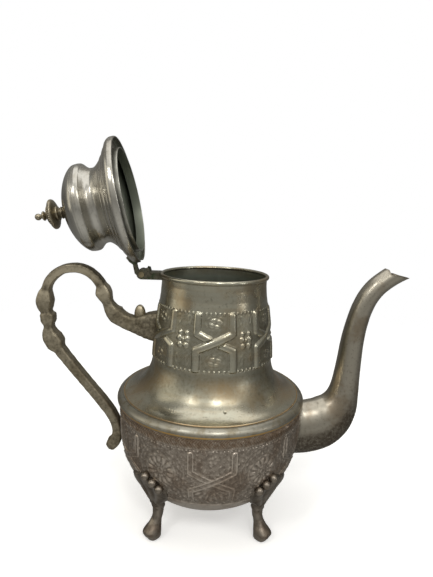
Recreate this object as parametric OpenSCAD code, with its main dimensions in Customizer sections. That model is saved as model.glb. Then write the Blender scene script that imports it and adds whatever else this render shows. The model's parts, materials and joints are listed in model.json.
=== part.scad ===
// Footed metal serving pot of the dallah and teapot kind: an embossed bowl on
// four cast feet, a tapering neck, a swan spout, a cast loop handle and a domed
// lid that swings on a pin hinge above the handle.
// Frame: the pot's axis is Z, the feet stand on Z = 0, the spout points to +X
// and the handle to -X. All sizes are in millimetres.

/* [Bowl] */
// Outer radius of the bowl at its widest
bowl_r = 63.2; // [61:0.1:64]
// Height of the bowl's underside above the table
bowl_bottom = 14.6; // [13:0.1:17]
// Height at which the bowl's side turns upright
bowl_mid = 72; // [69:0.5:75]
// Height of the bowl's top edge
bowl_top = 86.4; // [85.5:0.1:87]
// Fullness of the bowl's underside, 2 being an ellipse
bowl_fullness = 2.4; // [2.3:0.05:2.6]
// Thickness of the raised sheet walls
wall = 0.9; // [0.7:0.1:1.2]

/* [Waist and neck] */
// Outer radius of the band round the waist
band_r = 65; // [64.6:0.1:66]
// Outer radius of the shoulder where the band begins
shoulder_r = 60.2; // [59.5:0.1:61]
// Height of the shoulder's edge
shoulder_z = 92.4; // [91.8:0.1:93]
// Outer radius of the neck at its foot
neck_foot_r = 41; // [40:0.1:42]
// Height at which the neck flares into the shoulder
neck_foot_z = 119; // [117:0.5:121]
// Outer radius of the neck just below the mouth
neck_top_r = 35.5; // [35.4:0.1:35.8]
// Height of the middle of the rolled mouth
mouth_z = 172.4; // [172.2:0.1:172.6]
// Radius of the rolled mouth's section
mouth_roll = 1.25; // [1.1:0.05:1.3]

/* [Spout] */
// Wall of the spout
spout_wall = 1.2; // [1:0.1:1.4]
// Radius of the hole in the bowl behind the spout
spout_hole_r = 12; // [10:0.5:12]
// Diameter of each strainer hole
strainer_hole_d = 2.4; // [1.8:0.1:2.6]

/* [Feet] */
// How much further out than usual the feet stand
foot_out = 0; // [-1:0.5:1.5]
// Angle of a foot from the spout's line
foot_angle = 45; // [40:1:50]
// Radius of the three beads on a foot's shell
foot_bead_r = 2.8; // [2.4:0.1:3]

/* [Hinge] */
// Distance of the hinge pin from the pot's axis
pin_x = 48.8; // [48.4:0.1:48.9]
// Height of the hinge pin
pin_z = 171.9; // [171.7:0.1:172.1]
// Diameter of the hinge pin
pin_d = 2.2; // [2:0.1:2.4]
// Running gap round the pin in the lid's knuckle, on the radius
pin_gap = 0.05; // [0.03:0.01:0.08]
// Length of the middle knuckle
knuckle_w = 5.2; // [5:0.1:5.4]
// Width of the fixed arm across both of its cheeks
arm_w = 11; // [10.8:0.1:11.4]
// How far the lid stands open, 0 being closed
lid_open = 102; // [0:0.5:105]

/* [Lid] */
// Outer radius of the lid's brim
brim_r = 41.5; // [41:0.1:42]
// Height of the closed lid's brim above the table
brim_z = 170.1; // [169.9:0.1:170.3]
// Outer radius of the collar that drops into the mouth
collar_r = 33.8; // [33.4:0.1:33.9]
// How far the collar reaches below the brim
collar_drop = 1.6; // [1:0.1:2]
// Height of the flat on top of the dome above the brim
dome_h = 41.8; // [41.5:0.1:42.2]

/* [Finial] */
// Radius of the milled knob
knob_r = 9.7; // [9:0.1:10.4]
// Diameter of the stud that holds the finial
stud_d = 3; // [2.6:0.1:3.2]

/* [Hidden] */
$fn = 96;

silver = [0.66, 0.64, 0.59];
old_brass = [0.62, 0.53, 0.33];
bronze = [0.42, 0.39, 0.28];
dull_silver = [0.50, 0.47, 0.41];

bowl_depth = bowl_mid - bowl_bottom;
roll_r = neck_top_r + 0.4;
throat_z = 166.8;
spout_root_z = 63;
strainer_r = 15;
pin_r = pin_d / 2;
knuckle_r = 3.2;
foot_shell_r = 58.4;
foot_bead_pitch = 6.4;
foot_bead_z = 43;
cheek_r = 3.3;
side_gap = 0.3;
arm_top = mouth_z + mouth_roll - 0.15;
arm_bottom = pin_z - cheek_r;
notch_w = arm_w + 1.2;
seat_h = mouth_z + mouth_roll + 0.3 - brim_z;
seat_t = 0.8;
stud_r = stud_d / 2;
knob_foot_h = 48.6;
knob_top_h = 56.4;

// Spout sections: [x, z, direction, half height in its own plane, half width]
spout_path = [
    [56.5, 62.1, 2, 19.4, 13.6],
    [69.5, 63.3, 8, 19.4, 13.6],
    [81.7, 67.3, 20, 18.6, 13.4],
    [89.8, 74.1, 38, 16, 12.5],
    [94.1, 82.8, 58, 12.8, 11.2],
    [95.7, 92.5, 74, 10.3, 9.8],
    [96.5, 103, 83, 9.1, 9],
    [97.4, 116, 86, 8.3, 8.4],
    [98.4, 129, 84, 7.8, 8],
    [100.5, 142, 78, 7.3, 7.6],
    [103.3, 152.5, 70, 7.1, 7.4],
    [106.9, 160.6, 60, 7, 7.3],
    [111.7, 167.2, 49, 6.9, 7.2],
    [117.5, 172.3, 37, 6.8, 7.1],
    [123.5, 176.5, 31, 6.8, 7.1],
    [131, 180.6, 27, 6.8, 7.1]
];

// Side outline that is cut away to leave the top lip and the pouring beak
beak_cut = [
    [117.9, 181], [118.4, 177.1], [120.5, 176.5], [125.1, 176.4], [129.1, 175.2],
    [134.1, 174.2], [150, 174], [150, 200], [116, 200], [116, 182]
];

// Handle sections, from the neck over the arch and down to the bowl
handle_path = [
    [-34.5, 135.5, 180, 11.5, 6.2],
    [-42.5, 135.6, 178, 9.6, 6],
    [-49.5, 136.2, 173, 7.4, 5.6],
    [-56.5, 137.3, 164, 5.3, 5.2],
    [-62.5, 140, 150, 5, 5.2],
    [-66.5, 143, 138, 5.5, 5.5],
    [-69.7, 146.8, 120, 4.2, 5],
    [-72.1, 151.6, 104, 3.4, 4.5],
    [-73.7, 154.8, 102, 4.3, 5.2],
    [-74.8, 157.8, 102, 5, 5.6],
    [-75.5, 160.6, 108, 4.5, 5.2],
    [-76.9, 163.9, 116, 3.2, 4.5],
    [-80.9, 169.1, 134, 3.1, 4.4],
    [-87.1, 173.2, 156, 3.1, 4.4],
    [-94.5, 174.5, 180, 3.1, 4.4],
    [-101.7, 173.1, 204, 3, 4.4],
    [-107.9, 168.9, 228, 3, 4.4],
    [-111.8, 163.8, 246, 2.8, 4.3],
    [-113.1, 160.3, 254, 2.9, 4.4],
    [-114.2, 155.8, 258, 4.5, 5.2],
    [-114.7, 151.2, 268, 5.3, 5.8],
    [-114.6, 147.2, 272, 4.7, 5.2],
    [-113.9, 143.6, 276, 3.3, 4.4],
    [-113.1, 141.6, 276, 4.5, 5],
    [-112.8, 138, 272, 4.5, 5],
    [-112.5, 133.8, 272, 3, 4.3],
    [-112.3, 129.8, 282, 4.3, 4.8],
    [-110.3, 125.2, 294, 5.7, 5.6],
    [-108.3, 121.6, 300, 5.7, 5.6],
    [-105.4, 116.9, 306, 3.6, 4.6],
    [-99.9, 109.4, 308, 3.4, 4.4],
    [-85.3, 90.6, 308, 3.3, 4.4],
    [-76.1, 78.7, 307, 3.4, 4.4],
    [-69.9, 69.6, 300, 3.2, 4.6],
    [-66.7, 61.6, 280, 3.2, 4.8],
    [-66.2, 55.2, 262, 3.5, 5],
    [-67.7, 50, 236, 3.9, 5.2],
    [-70.5, 47, 218, 4, 5],
    [-72.9, 45.4, 210, 2.5, 3.4]
];

// Foot sections: [height, radius from the axis, half depth, half width]
foot_path = [
    [0, 53, 3.2, 3.2],
    [1.6, 52.8, 4.6, 4.2],
    [4.4, 51.8, 5.6, 4.7],
    [7, 50.4, 5, 4.1],
    [9.6, 48.8, 3.6, 3.3],
    [14, 47.6, 3.2, 3.1],
    [18, 46.8, 3.6, 3.6],
    [22, 46.6, 4.6, 4.9],
    [28, 48.8, 5.0, 6.6],
    [33, 52.0, 5.0, 8.0],
    [38, 55.0, 5.0, 9.2],
    [42.6, 57.4, 4.2, 9.8],
    [45.6, 58.6, 2.8, 8.8]
];

// ---- outlines ------------------------------------------------------------

function bez(a, b, c, d, n) = [for (i = [0:n]) let (t = i / n, s = 1 - t)
    s * s * s * a + 3 * s * s * t * b + 3 * s * t * t * c + t * t * t * d];

function arc(c, r, a, b, n) = [for (i = [0:n]) let (t = a + (b - a) * i / n)
    c + r * [cos(t), sin(t)]];

function unit(v) = v / norm(v);

// The outline moved sideways by t, to its right as it is drawn
function beside(p, t) = [for (i = [0:len(p) - 1])
    let (d = unit(p[min(i + 1, len(p) - 1)] - p[max(i - 1, 0)]))
    p[i] + t * [d[1], -d[0]]];

function back(p) = [for (i = [len(p) - 1:-1:0]) p[i]];

// Bowl: a superellipse underside, then an almost upright side
function bowl_side(inset) = concat(
    [for (i = [0:26]) let (t = 90 - 90 * i / 26, k = 2 / bowl_fullness)
        [(bowl_r - inset) * pow(cos(t), k),
         bowl_mid - (bowl_depth - inset) * pow(sin(t), k)]],
    [[bowl_r - inset + 0.3, bowl_top]]);

// Upper body: a quarter of an ellipse up the shoulder, then the taper of the neck
flare_w = 22;
flare_h = 26.6;
flare_end = 82;
upper_side = concat(
    [[shoulder_r, shoulder_z]],
    [for (i = [0:18]) let (t = flare_end - flare_end * i / 18)
        [neck_foot_r + flare_w * (1 - cos(t)), neck_foot_z - flare_h * sin(t)]],
    bez([neck_foot_r - 0.4, neck_foot_z + 6], [39.6, 136], [37.7, 150], [36.1, 160], 8),
    [[neck_top_r, 167], [neck_top_r, mouth_z]]);
upper_inside = concat(
    [for (p = beside(upper_side, -wall)) if (p[1] < throat_z - 1) p],
    [[neck_top_r - wall, throat_z], [neck_top_r - wall, mouth_z]]);

band_outer = concat(
    bez([shoulder_r, shoulder_z], [62.6, 92.2], [64.4, 90.4], [band_r, 88.2], 8),
    [[band_r, 87], [64.3, bowl_top]]);
band_inner = [[bowl_r - wall + 0.3, bowl_top], [61.8, 88], upper_inside[0]];

// Lid outline, [radius, height above the brim]
lid_side = concat(
    bez([brim_r - 0.5, 0], [brim_r + 0.2, 1.6], [41, 4.2], [39.2, 5.6], 6),
    bez([38, 6.3], [36.6, 6.8], [35.6, 7.6], [34, 8.6], 4),
    bez([32.6, 9.4], [28.2, 12.8], [24.6, 16], [24.4, 18.8], 8),
    bez([24.6, 21], [25.6, 23.6], [28.4, 24.6], [28.5, 27.4], 8),
    bez([28.3, 30.2], [26, 35.4], [16.8, 40.2], [8, dome_h], 10),
    [[0, dome_h]]);
lid_inside = concat(
    [[brim_r - 1.5, 0]], [for (p = beside(lid_side, -wall)) if (p[1] > 1 && p[0] > 0.5) p],
    [[0, dome_h - wall]]);

// ---- helpers -------------------------------------------------------------

function power(v, k) = (v < 0 ? -1 : 1) * pow(abs(v), k);

// One ring of a sweep in the XZ plane, shrunk all round by t
function ring(s, t, n, p) = [for (k = [0:n - 1])
    let (q = 360 * k / n,
         u = (s[3] - t) * power(cos(q), 2 / p),
         v = (s[4] - t) * power(sin(q), 2 / p))
    [s[0] - sin(s[2]) * u, v, s[1] + cos(s[2]) * u]];

// The section moved along its own direction by d
function along(s, d) = [s[0] + d * cos(s[2]), s[1] + d * sin(s[2]), s[2], s[3], s[4]];

// The sections with both end ones moved 1 mm outwards, for a bore right through
function run_out(path) = let (last = len(path) - 1)
    [for (i = [0:last]) along(path[i], i == 0 ? -1 : i == last ? 1 : 0)];

// A closed sweep: flat ends, n points round each ring
module sweep(path, n, t, p) {
    m = len(path);
    points = [for (s = path) each ring(s, t, n, p)];
    sides = [for (i = [0:m - 2], k = [0:n - 1]) let (j = (k + 1) % n)
        each [[i * n + k, i * n + j, (i + 1) * n + k],
              [i * n + j, (i + 1) * n + j, (i + 1) * n + k]]];
    first = [for (k = [n - 1:-1:0]) k];
    last = [for (k = [0:n - 1]) (m - 1) * n + k];
    polyhedron(points, concat([first], sides, [last]));
}

// A closed stack of rounded level rings at increasing height
module stack(path, n, p) {
    m = len(path);
    points = [for (s = path) each [for (k = [0:n - 1]) let (q = 360 * k / n)
        [s[1] + s[2] * power(cos(q), 2 / p), s[3] * power(sin(q), 2 / p), s[0]]]];
    sides = [for (i = [0:m - 2], k = [0:n - 1]) let (j = (k + 1) % n)
        each [[i * n + k, (i + 1) * n + k, i * n + j],
              [i * n + j, (i + 1) * n + k, (i + 1) * n + j]]];
    first = [for (k = [0:n - 1]) k];
    last = [for (k = [n - 1:-1:0]) (m - 1) * n + k];
    polyhedron(points, concat([first], sides, [last]));
}

// Everything within the bowl's outer surface
module bowl_solid() {
    rotate_extrude() polygon(concat(bowl_side(0), [[0, bowl_top]]));
}

// Everything within the neck and shoulder
module upper_solid() {
    rotate_extrude() polygon(concat(upper_side, [[0, mouth_z], [0, shoulder_z]]));
}

module mouth_ring() {
    translate([0, 0, mouth_z]) rotate_extrude()
        translate([roll_r, 0]) circle(r = mouth_roll, $fn = 32);
}

// The lid's own frame: brim at height 0 on the lid's axis, carried to where it stands
module lid_place() {
    translate([-pin_x, 0, pin_z]) rotate([0, -lid_open, 0])
        translate([pin_x, 0, brim_z - pin_z]) children();
}

module across(width) {
    rotate([90, 0, 0]) linear_extrude(height = width, center = true) children();
}

// ---- pot -----------------------------------------------------------------

module bowl() {
    color(dull_silver) difference() {
        rotate_extrude() polygon(concat(bowl_side(0), back(bowl_side(wall))));
        translate([bowl_r - 8, 0, spout_root_z]) rotate([0, 90, 0])
            cylinder(h = 16, r = spout_hole_r);
    }
}

module waist_band() {
    color(old_brass) rotate_extrude() polygon(concat(band_outer, band_inner));
}

module upper_body() {
    color(silver) {
        rotate_extrude() polygon(concat(upper_side, back(upper_inside)));
        mouth_ring();
    }
}

module spout() {
    color(silver) difference() {
        sweep(spout_path, 24, 0, 2);
        sweep(run_out(spout_path), 24, spout_wall, 2);
        bowl_solid();
        across(40) polygon(beak_cut);
    }
}

module spout_strainer() {
    pitch = 4.2;
    color(old_brass) difference() {
        intersection() {
            rotate_extrude() polygon(concat(bowl_side(wall), back(bowl_side(wall + 0.7))));
            translate([bowl_r - 12, 0, spout_root_z]) rotate([0, 90, 0])
                cylinder(h = 20, r = strainer_r);
        }
        for (row = [-2:2], i = [-2:2]) {
            y = (i + (abs(row) % 2) / 2) * pitch;
            z = spout_root_z + row * pitch * 0.87;
            if (norm([y, z - spout_root_z]) < spout_hole_r - 1.5)
                translate([bowl_r - 12, y, z]) rotate([0, 90, 0])
                    cylinder(h = 20, d = strainer_hole_d, $fn = 24);
        }
    }
}

// Cast foot: hoof, ankle and a shell that lies against the bowl under three beads
module foot(turn) {
    color(bronze) rotate(turn) difference() {
        union() {
            stack([for (s = foot_path) [s[0], s[1] + foot_out * (1 - s[0] / 60), s[2], s[3]]],
                  20, 2.6);
            for (i = [-1:1])
                translate([foot_shell_r - abs(i) * 0.5, i * foot_bead_pitch, foot_bead_z])
                    sphere(r = foot_bead_r, $fn = 24);
        }
        bowl_solid();
    }
}

module foot_front_left() { foot(-180 + foot_angle); }
module foot_front_right() { foot(-foot_angle); }
module foot_rear_left() { foot(180 - foot_angle); }
module foot_rear_right() { foot(foot_angle); }

module handle() {
    color(bronze) difference() {
        union() {
            sweep(handle_path, 16, 0, 3.4);
            translate([-68.6, 0, 139]) rotate([90, 0, 0])
                cylinder(h = 6, r = 1.9, center = true, $fn = 24);
            translate([-50.4, 0, 143.4]) rotate([90, 0, 0]) scale([1, 1.7, 1])
                cylinder(h = 6.4, r = 4.1, center = true, $fn = 32);
        }
        bowl_solid();
        upper_solid();
    }
}

module hinge_arm() {
    slot_w = knuckle_w + 2 * side_gap;
    color(bronze) difference() {
        across(arm_w) polygon(concat(
            [[-33, arm_bottom]], arc([-pin_x, pin_z], cheek_r, 270, 45, 30),
            [[-45.6, arm_top + 2.9], [-43.9, arm_top + 2.5], [-43.2, arm_top], [-33, arm_top]]));
        translate([-pin_x - 6, -slot_w / 2, pin_z - 6]) cube([6 + knuckle_r + 0.35, slot_w, 12]);
        translate([-47.5, -slot_w / 2, arm_top]) cube([6, slot_w, 5]);
        rotate([90, 0, 0]) translate([-pin_x, pin_z, 0]) cylinder(h = 20, r = pin_r, center = true);
        upper_solid();
        translate([0, 0, mouth_z - 1]) cylinder(h = 5, r = roll_r);
        mouth_ring();
    }
}

module hinge_pin() {
    color(old_brass) translate([-pin_x, 0, pin_z]) rotate([90, 0, 0]) {
        cylinder(h = arm_w, r = pin_r, center = true);
        for (side = [-1, 1])
            translate([0, 0, side * (arm_w / 2 + 0.4)])
                cylinder(h = 0.8, r = pin_r + 0.8, center = true);
    }
}

// ---- lid -----------------------------------------------------------------

module lid_outer_solid() {
    rotate_extrude() polygon(concat(lid_side, [[0, 0]]));
}

module lid_shell() {
    color(silver) lid_place() difference() {
        rotate_extrude() polygon(concat(lid_side, back(lid_inside)));
        translate([-brim_r - 2, -notch_w / 2, -1]) cube([7, notch_w, seat_h + 1.2]);
        translate([0, 0, dome_h - 3]) cylinder(h = 6, r = stud_r);
    }
}

module lid_collar() {
    color(old_brass) lid_place() {
        intersection() {
            translate([0, 0, seat_h]) difference() {
                cylinder(h = seat_t, r = brim_r);
                translate([0, 0, -1]) cylinder(h = 3, r = collar_r - 0.8);
            }
            rotate_extrude() polygon(concat(lid_inside, [[0, 0]]));
        }
        translate([0, 0, -collar_drop]) difference() {
            cylinder(h = collar_drop + seat_h, r = collar_r);
            translate([0, 0, -1]) cylinder(h = collar_drop + seat_h + 2, r = collar_r - 0.8);
        }
    }
}

// Leaf: a knuckle on the pin, a tongue over the arm and a pad against the lid
module lid_leaf() {
    pin_h = pin_z - brim_z;
    color(bronze) lid_place() difference() {
        union() {
            across(knuckle_w) union() {
                translate([-pin_x, pin_h]) circle(r = knuckle_r, $fn = 48);
                polygon([[-pin_x - 2, pin_h + 2.5], [-47.6, pin_h + 4.8], [-41.4, 6.6],
                         [-38, 6.6], [-38, seat_h + 0.3], [-44.6, seat_h + 0.3],
                         [-pin_x + 2.6, pin_h + 1.9]]);
            }
            across(10) polygon([[-41.2, 3.4], [-41.8, 5.6], [-39.4, 8],
                                [-36.2, 9.6], [-35, 8.4], [-38, 3.4]]);
        }
        lid_outer_solid();
        rotate([90, 0, 0]) translate([-pin_x, pin_h, 0])
            cylinder(h = 20, r = pin_r + pin_gap, center = true);
    }
}

module finial_foot() {
    color(old_brass) lid_place() rotate_extrude() polygon(concat(
        [[stud_r, dome_h], [6.4, dome_h]],
        bez([6.4, dome_h + 0.8], [4.4, dome_h + 2], [3.2, dome_h + 3], [3.7, dome_h + 4.6], 6),
        [[4.8, knob_foot_h - 1], [4.8, knob_foot_h], [stud_r, knob_foot_h]]));
}

module finial_knob() {
    color(old_brass) lid_place() rotate_extrude() polygon(concat(
        [[stud_r, knob_foot_h], [4.8, knob_foot_h]],
        bez([7.6, knob_foot_h + 0.8], [knob_r, knob_foot_h + 1.4],
            [knob_r + 0.3, knob_foot_h + 2.4], [knob_r, knob_foot_h + 3.2], 5),
        bez([8.8, knob_foot_h + 4.6], [6.6, knob_foot_h + 6],
            [3, knob_foot_h + 6.4], [1.9, knob_top_h], 6),
        [[stud_r, knob_top_h]]));
}

module finial_tip() {
    disc_h = knob_top_h + 1.3;
    ball_h = knob_top_h + 5;
    color(old_brass) lid_place() difference() {
        union() {
            rotate_extrude() polygon([
                [0, knob_top_h], [1.9, knob_top_h], [3.1, disc_h - 0.5], [3.1, disc_h + 0.2],
                [1.7, disc_h + 1.2], [1.5, disc_h + 1.9], [1.7, ball_h - 1.5], [0, ball_h - 1.5]]);
            translate([0, 0, ball_h]) sphere(r = 2.2, $fn = 32);
        }
        translate([0, 0, knob_top_h - 1]) cylinder(h = 3, r = 1);
    }
}

// Stud: threaded rod from the nut inside the dome up into the tip
module finial_stud() {
    color(old_brass) lid_place() {
        translate([0, 0, dome_h - 5]) cylinder(h = knob_top_h - dome_h + 5, r = stud_r);
        translate([0, 0, knob_top_h]) cylinder(h = 2, r = 1);
    }
}

module finial_washer() {
    color(old_brass) lid_place() translate([0, 0, dome_h - wall - 0.8]) difference() {
        cylinder(h = 0.8, r = 5);
        translate([0, 0, -1]) cylinder(h = 3, r = stud_r);
    }
}

module finial_nut() {
    color(old_brass) lid_place() translate([0, 0, dome_h - wall - 0.8 - 2.4]) difference() {
        cylinder(h = 2.4, r = 3.2, $fn = 6);
        translate([0, 0, -1]) cylinder(h = 5, r = stud_r);
    }
}

bowl();
waist_band();
upper_body();
spout();
spout_strainer();
foot_front_left();
foot_front_right();
foot_rear_left();
foot_rear_right();
handle();
hinge_arm();
hinge_pin();
lid_shell();
lid_collar();
lid_leaf();
finial_foot();
finial_knob();
finial_tip();
finial_stud();
finial_washer();
finial_nut();
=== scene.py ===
"""Footed metal serving pot: an embossed bowl on cast feet, a spun neck, a swan spout, a cast
loop handle and a domed lid on a pin hinge. Sizes are in millimetres and become metres only
when a mesh is made; the pot's axis is Z, the spout points to +X and the handle to -X."""

import json
import logging
import math
from dataclasses import dataclass, field
from enum import Enum
from typing import Dict, List, Optional, Sequence, Tuple, Union

import bmesh
import bpy
import numpy as np
from mathutils import Matrix, Vector

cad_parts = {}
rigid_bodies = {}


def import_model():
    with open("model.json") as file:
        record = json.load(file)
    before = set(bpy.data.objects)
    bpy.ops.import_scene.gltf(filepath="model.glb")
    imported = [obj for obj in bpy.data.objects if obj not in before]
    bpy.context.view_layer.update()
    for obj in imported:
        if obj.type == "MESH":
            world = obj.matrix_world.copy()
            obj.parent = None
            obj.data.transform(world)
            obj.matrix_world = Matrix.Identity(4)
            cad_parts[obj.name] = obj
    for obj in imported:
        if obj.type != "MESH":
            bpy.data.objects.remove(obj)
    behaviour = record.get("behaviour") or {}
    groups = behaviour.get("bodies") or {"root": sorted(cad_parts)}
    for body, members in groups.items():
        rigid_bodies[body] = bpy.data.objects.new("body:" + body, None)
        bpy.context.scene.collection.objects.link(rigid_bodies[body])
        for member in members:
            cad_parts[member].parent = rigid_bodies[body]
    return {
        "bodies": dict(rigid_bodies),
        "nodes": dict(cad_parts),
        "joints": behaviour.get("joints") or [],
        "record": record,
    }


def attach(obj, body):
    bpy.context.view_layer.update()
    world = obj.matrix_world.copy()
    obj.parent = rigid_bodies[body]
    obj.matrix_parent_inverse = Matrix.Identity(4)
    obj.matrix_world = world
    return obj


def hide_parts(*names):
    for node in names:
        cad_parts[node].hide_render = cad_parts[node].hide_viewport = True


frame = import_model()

LOG = logging.getLogger("serving_pot")
MM = 0.001
# below and above every height that is met, in millimetres
OFF = -9.0
FAR = 9.0
CAST_RELIEF = 0.7

Colour = Tuple[float, float, float]
Point = Tuple[float, float]
Point3 = Tuple[float, float, float]
Table = Sequence[Sequence[float]]
Lift = Union[float, np.ndarray]


# ---- finishes ------------------------------------------------------------------------------


class Grain(Enum):
    """How the surface of a metal piece was worked."""

    SPUN = "turned on a lathe: fine lines round the axis"
    BRUSHED = "rubbed along its length"
    MATTED = "punched and chased, never polished"
    CAST = "cast and filed"
    CORRODED = "iron-poor solder work with green bloom"


class Nodes:
    """A short hand for building one material's node tree."""

    def __init__(self, name: str) -> None:
        """Start an empty tree.

        Args:
            name: the material's name.
        """
        self.material = bpy.data.materials.new(name)
        self.material.use_nodes = True
        self.tree = self.material.node_tree
        self.tree.nodes.clear()

    def add(self, kind: str, **settings: object) -> bpy.types.Node:
        """Add a node.

        Args:
            kind: the node's type name.
            settings: plain properties to set on it.

        Returns:
            The new node.
        """
        node = self.tree.nodes.new(kind)
        for key, value in settings.items():
            setattr(node, key, value)
        return node

    def link(self, source: bpy.types.NodeSocket, target: bpy.types.NodeSocket) -> None:
        """Join an output to an input."""
        self.tree.links.new(source, target)

    def position(self, stretch: Tuple[float, float, float]) -> bpy.types.NodeSocket:
        """The piece's own coordinates.

        Args:
            stretch: scale along X, Y and Z, on metres.

        Returns:
            A vector socket.
        """
        where = self.add("ShaderNodeTexCoord")
        mapping = self.add("ShaderNodeMapping")
        mapping.inputs["Scale"].default_value = stretch
        self.link(where.outputs["Object"], mapping.inputs["Vector"])
        return mapping.outputs["Vector"]

    def noise(self, vector: bpy.types.NodeSocket, scale: float, detail: float = 3.0,
              rough: float = 0.55) -> bpy.types.NodeSocket:
        """A cloud of values from 0 to 1.

        Args:
            vector: where it is sampled.
            scale: how many clouds to the metre.
            detail: octaves.
            rough: weight of the finer octaves.

        Returns:
            A value socket.
        """
        node = self.add("ShaderNodeTexNoise")
        node.inputs["Scale"].default_value = scale
        node.inputs["Detail"].default_value = detail
        node.inputs["Roughness"].default_value = rough
        self.link(vector, node.inputs["Vector"])
        return node.outputs["Fac"]

    def range(self, value: bpy.types.NodeSocket, low: float, high: float, out_low: float = 0.0,
              out_high: float = 1.0) -> bpy.types.NodeSocket:
        """Spread a value between two limits, smoothly and clamped.

        Args:
            value: the value to spread.
            low: what becomes out_low.
            high: what becomes out_high.
            out_low: lowest result.
            out_high: highest result.

        Returns:
            A value socket.
        """
        node = self.add("ShaderNodeMapRange", interpolation_type="SMOOTHSTEP")
        for socket, number in zip(range_inputs(node), (low, high, out_low, out_high)):
            socket.default_value = number
        self.link(value, node.inputs["Value"])
        return node.outputs["Result"]

    def maths(self, operation: str, first: object, second: object) -> bpy.types.NodeSocket:
        """One sum on two values, each a socket or a number.

        Args:
            operation: Blender's name of the sum.
            first: first value.
            second: second value.

        Returns:
            A value socket.
        """
        node = self.add("ShaderNodeMath", operation=operation)
        for socket, value in zip(node.inputs, (first, second)):
            if isinstance(value, bpy.types.NodeSocket):
                self.link(value, socket)
            else:
                socket.default_value = float(value)
        return node.outputs[0]

    def mix(self, factor: bpy.types.NodeSocket, first: object, second: object,
            blend: str = "MIX") -> bpy.types.NodeSocket:
        """Mix two colours, each a socket or an RGB triple.

        Args:
            factor: share of the second.
            first: first colour.
            second: second colour.
            blend: blend mode.

        Returns:
            A colour socket.
        """
        node = self.add("ShaderNodeMix", data_type="RGBA", blend_type=blend)
        self.link(factor, node.inputs[0])
        for socket, value in ((node.inputs[6], first), (node.inputs[7], second)):
            if isinstance(value, bpy.types.NodeSocket):
                self.link(value, socket)
            else:
                socket.default_value = (*value, 1.0)
        return node.outputs[2]

    def attribute(self, name: str) -> bpy.types.NodeSocket:
        """A number stored on the mesh's points, 0 where there is none."""
        node = self.add("ShaderNodeAttribute", attribute_name=name)
        return node.outputs["Fac"]

    def bump(self, height: bpy.types.NodeSocket, strength: float, depth: float,
             before: Optional[bpy.types.NodeSocket] = None) -> bpy.types.NodeSocket:
        """Fine unevenness.

        Args:
            height: height from 0 to 1.
            strength: share of the effect.
            depth: height in millimetres.
            before: a normal this one is added to.

        Returns:
            A normal socket.
        """
        node = self.add("ShaderNodeBump")
        node.inputs["Strength"].default_value = strength
        node.inputs["Distance"].default_value = depth * MM
        self.link(height, node.inputs["Height"])
        if before is not None:
            self.link(before, node.inputs["Normal"])
        return node.outputs["Normal"]


def range_inputs(node: bpy.types.Node) -> List[bpy.types.NodeSocket]:
    """The four limits of a map range node, in order."""
    return [node.inputs[name] for name in ("From Min", "From Max", "To Min", "To Max")]


GREEN_BLOOM = (0.075, 0.095, 0.058)


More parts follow.
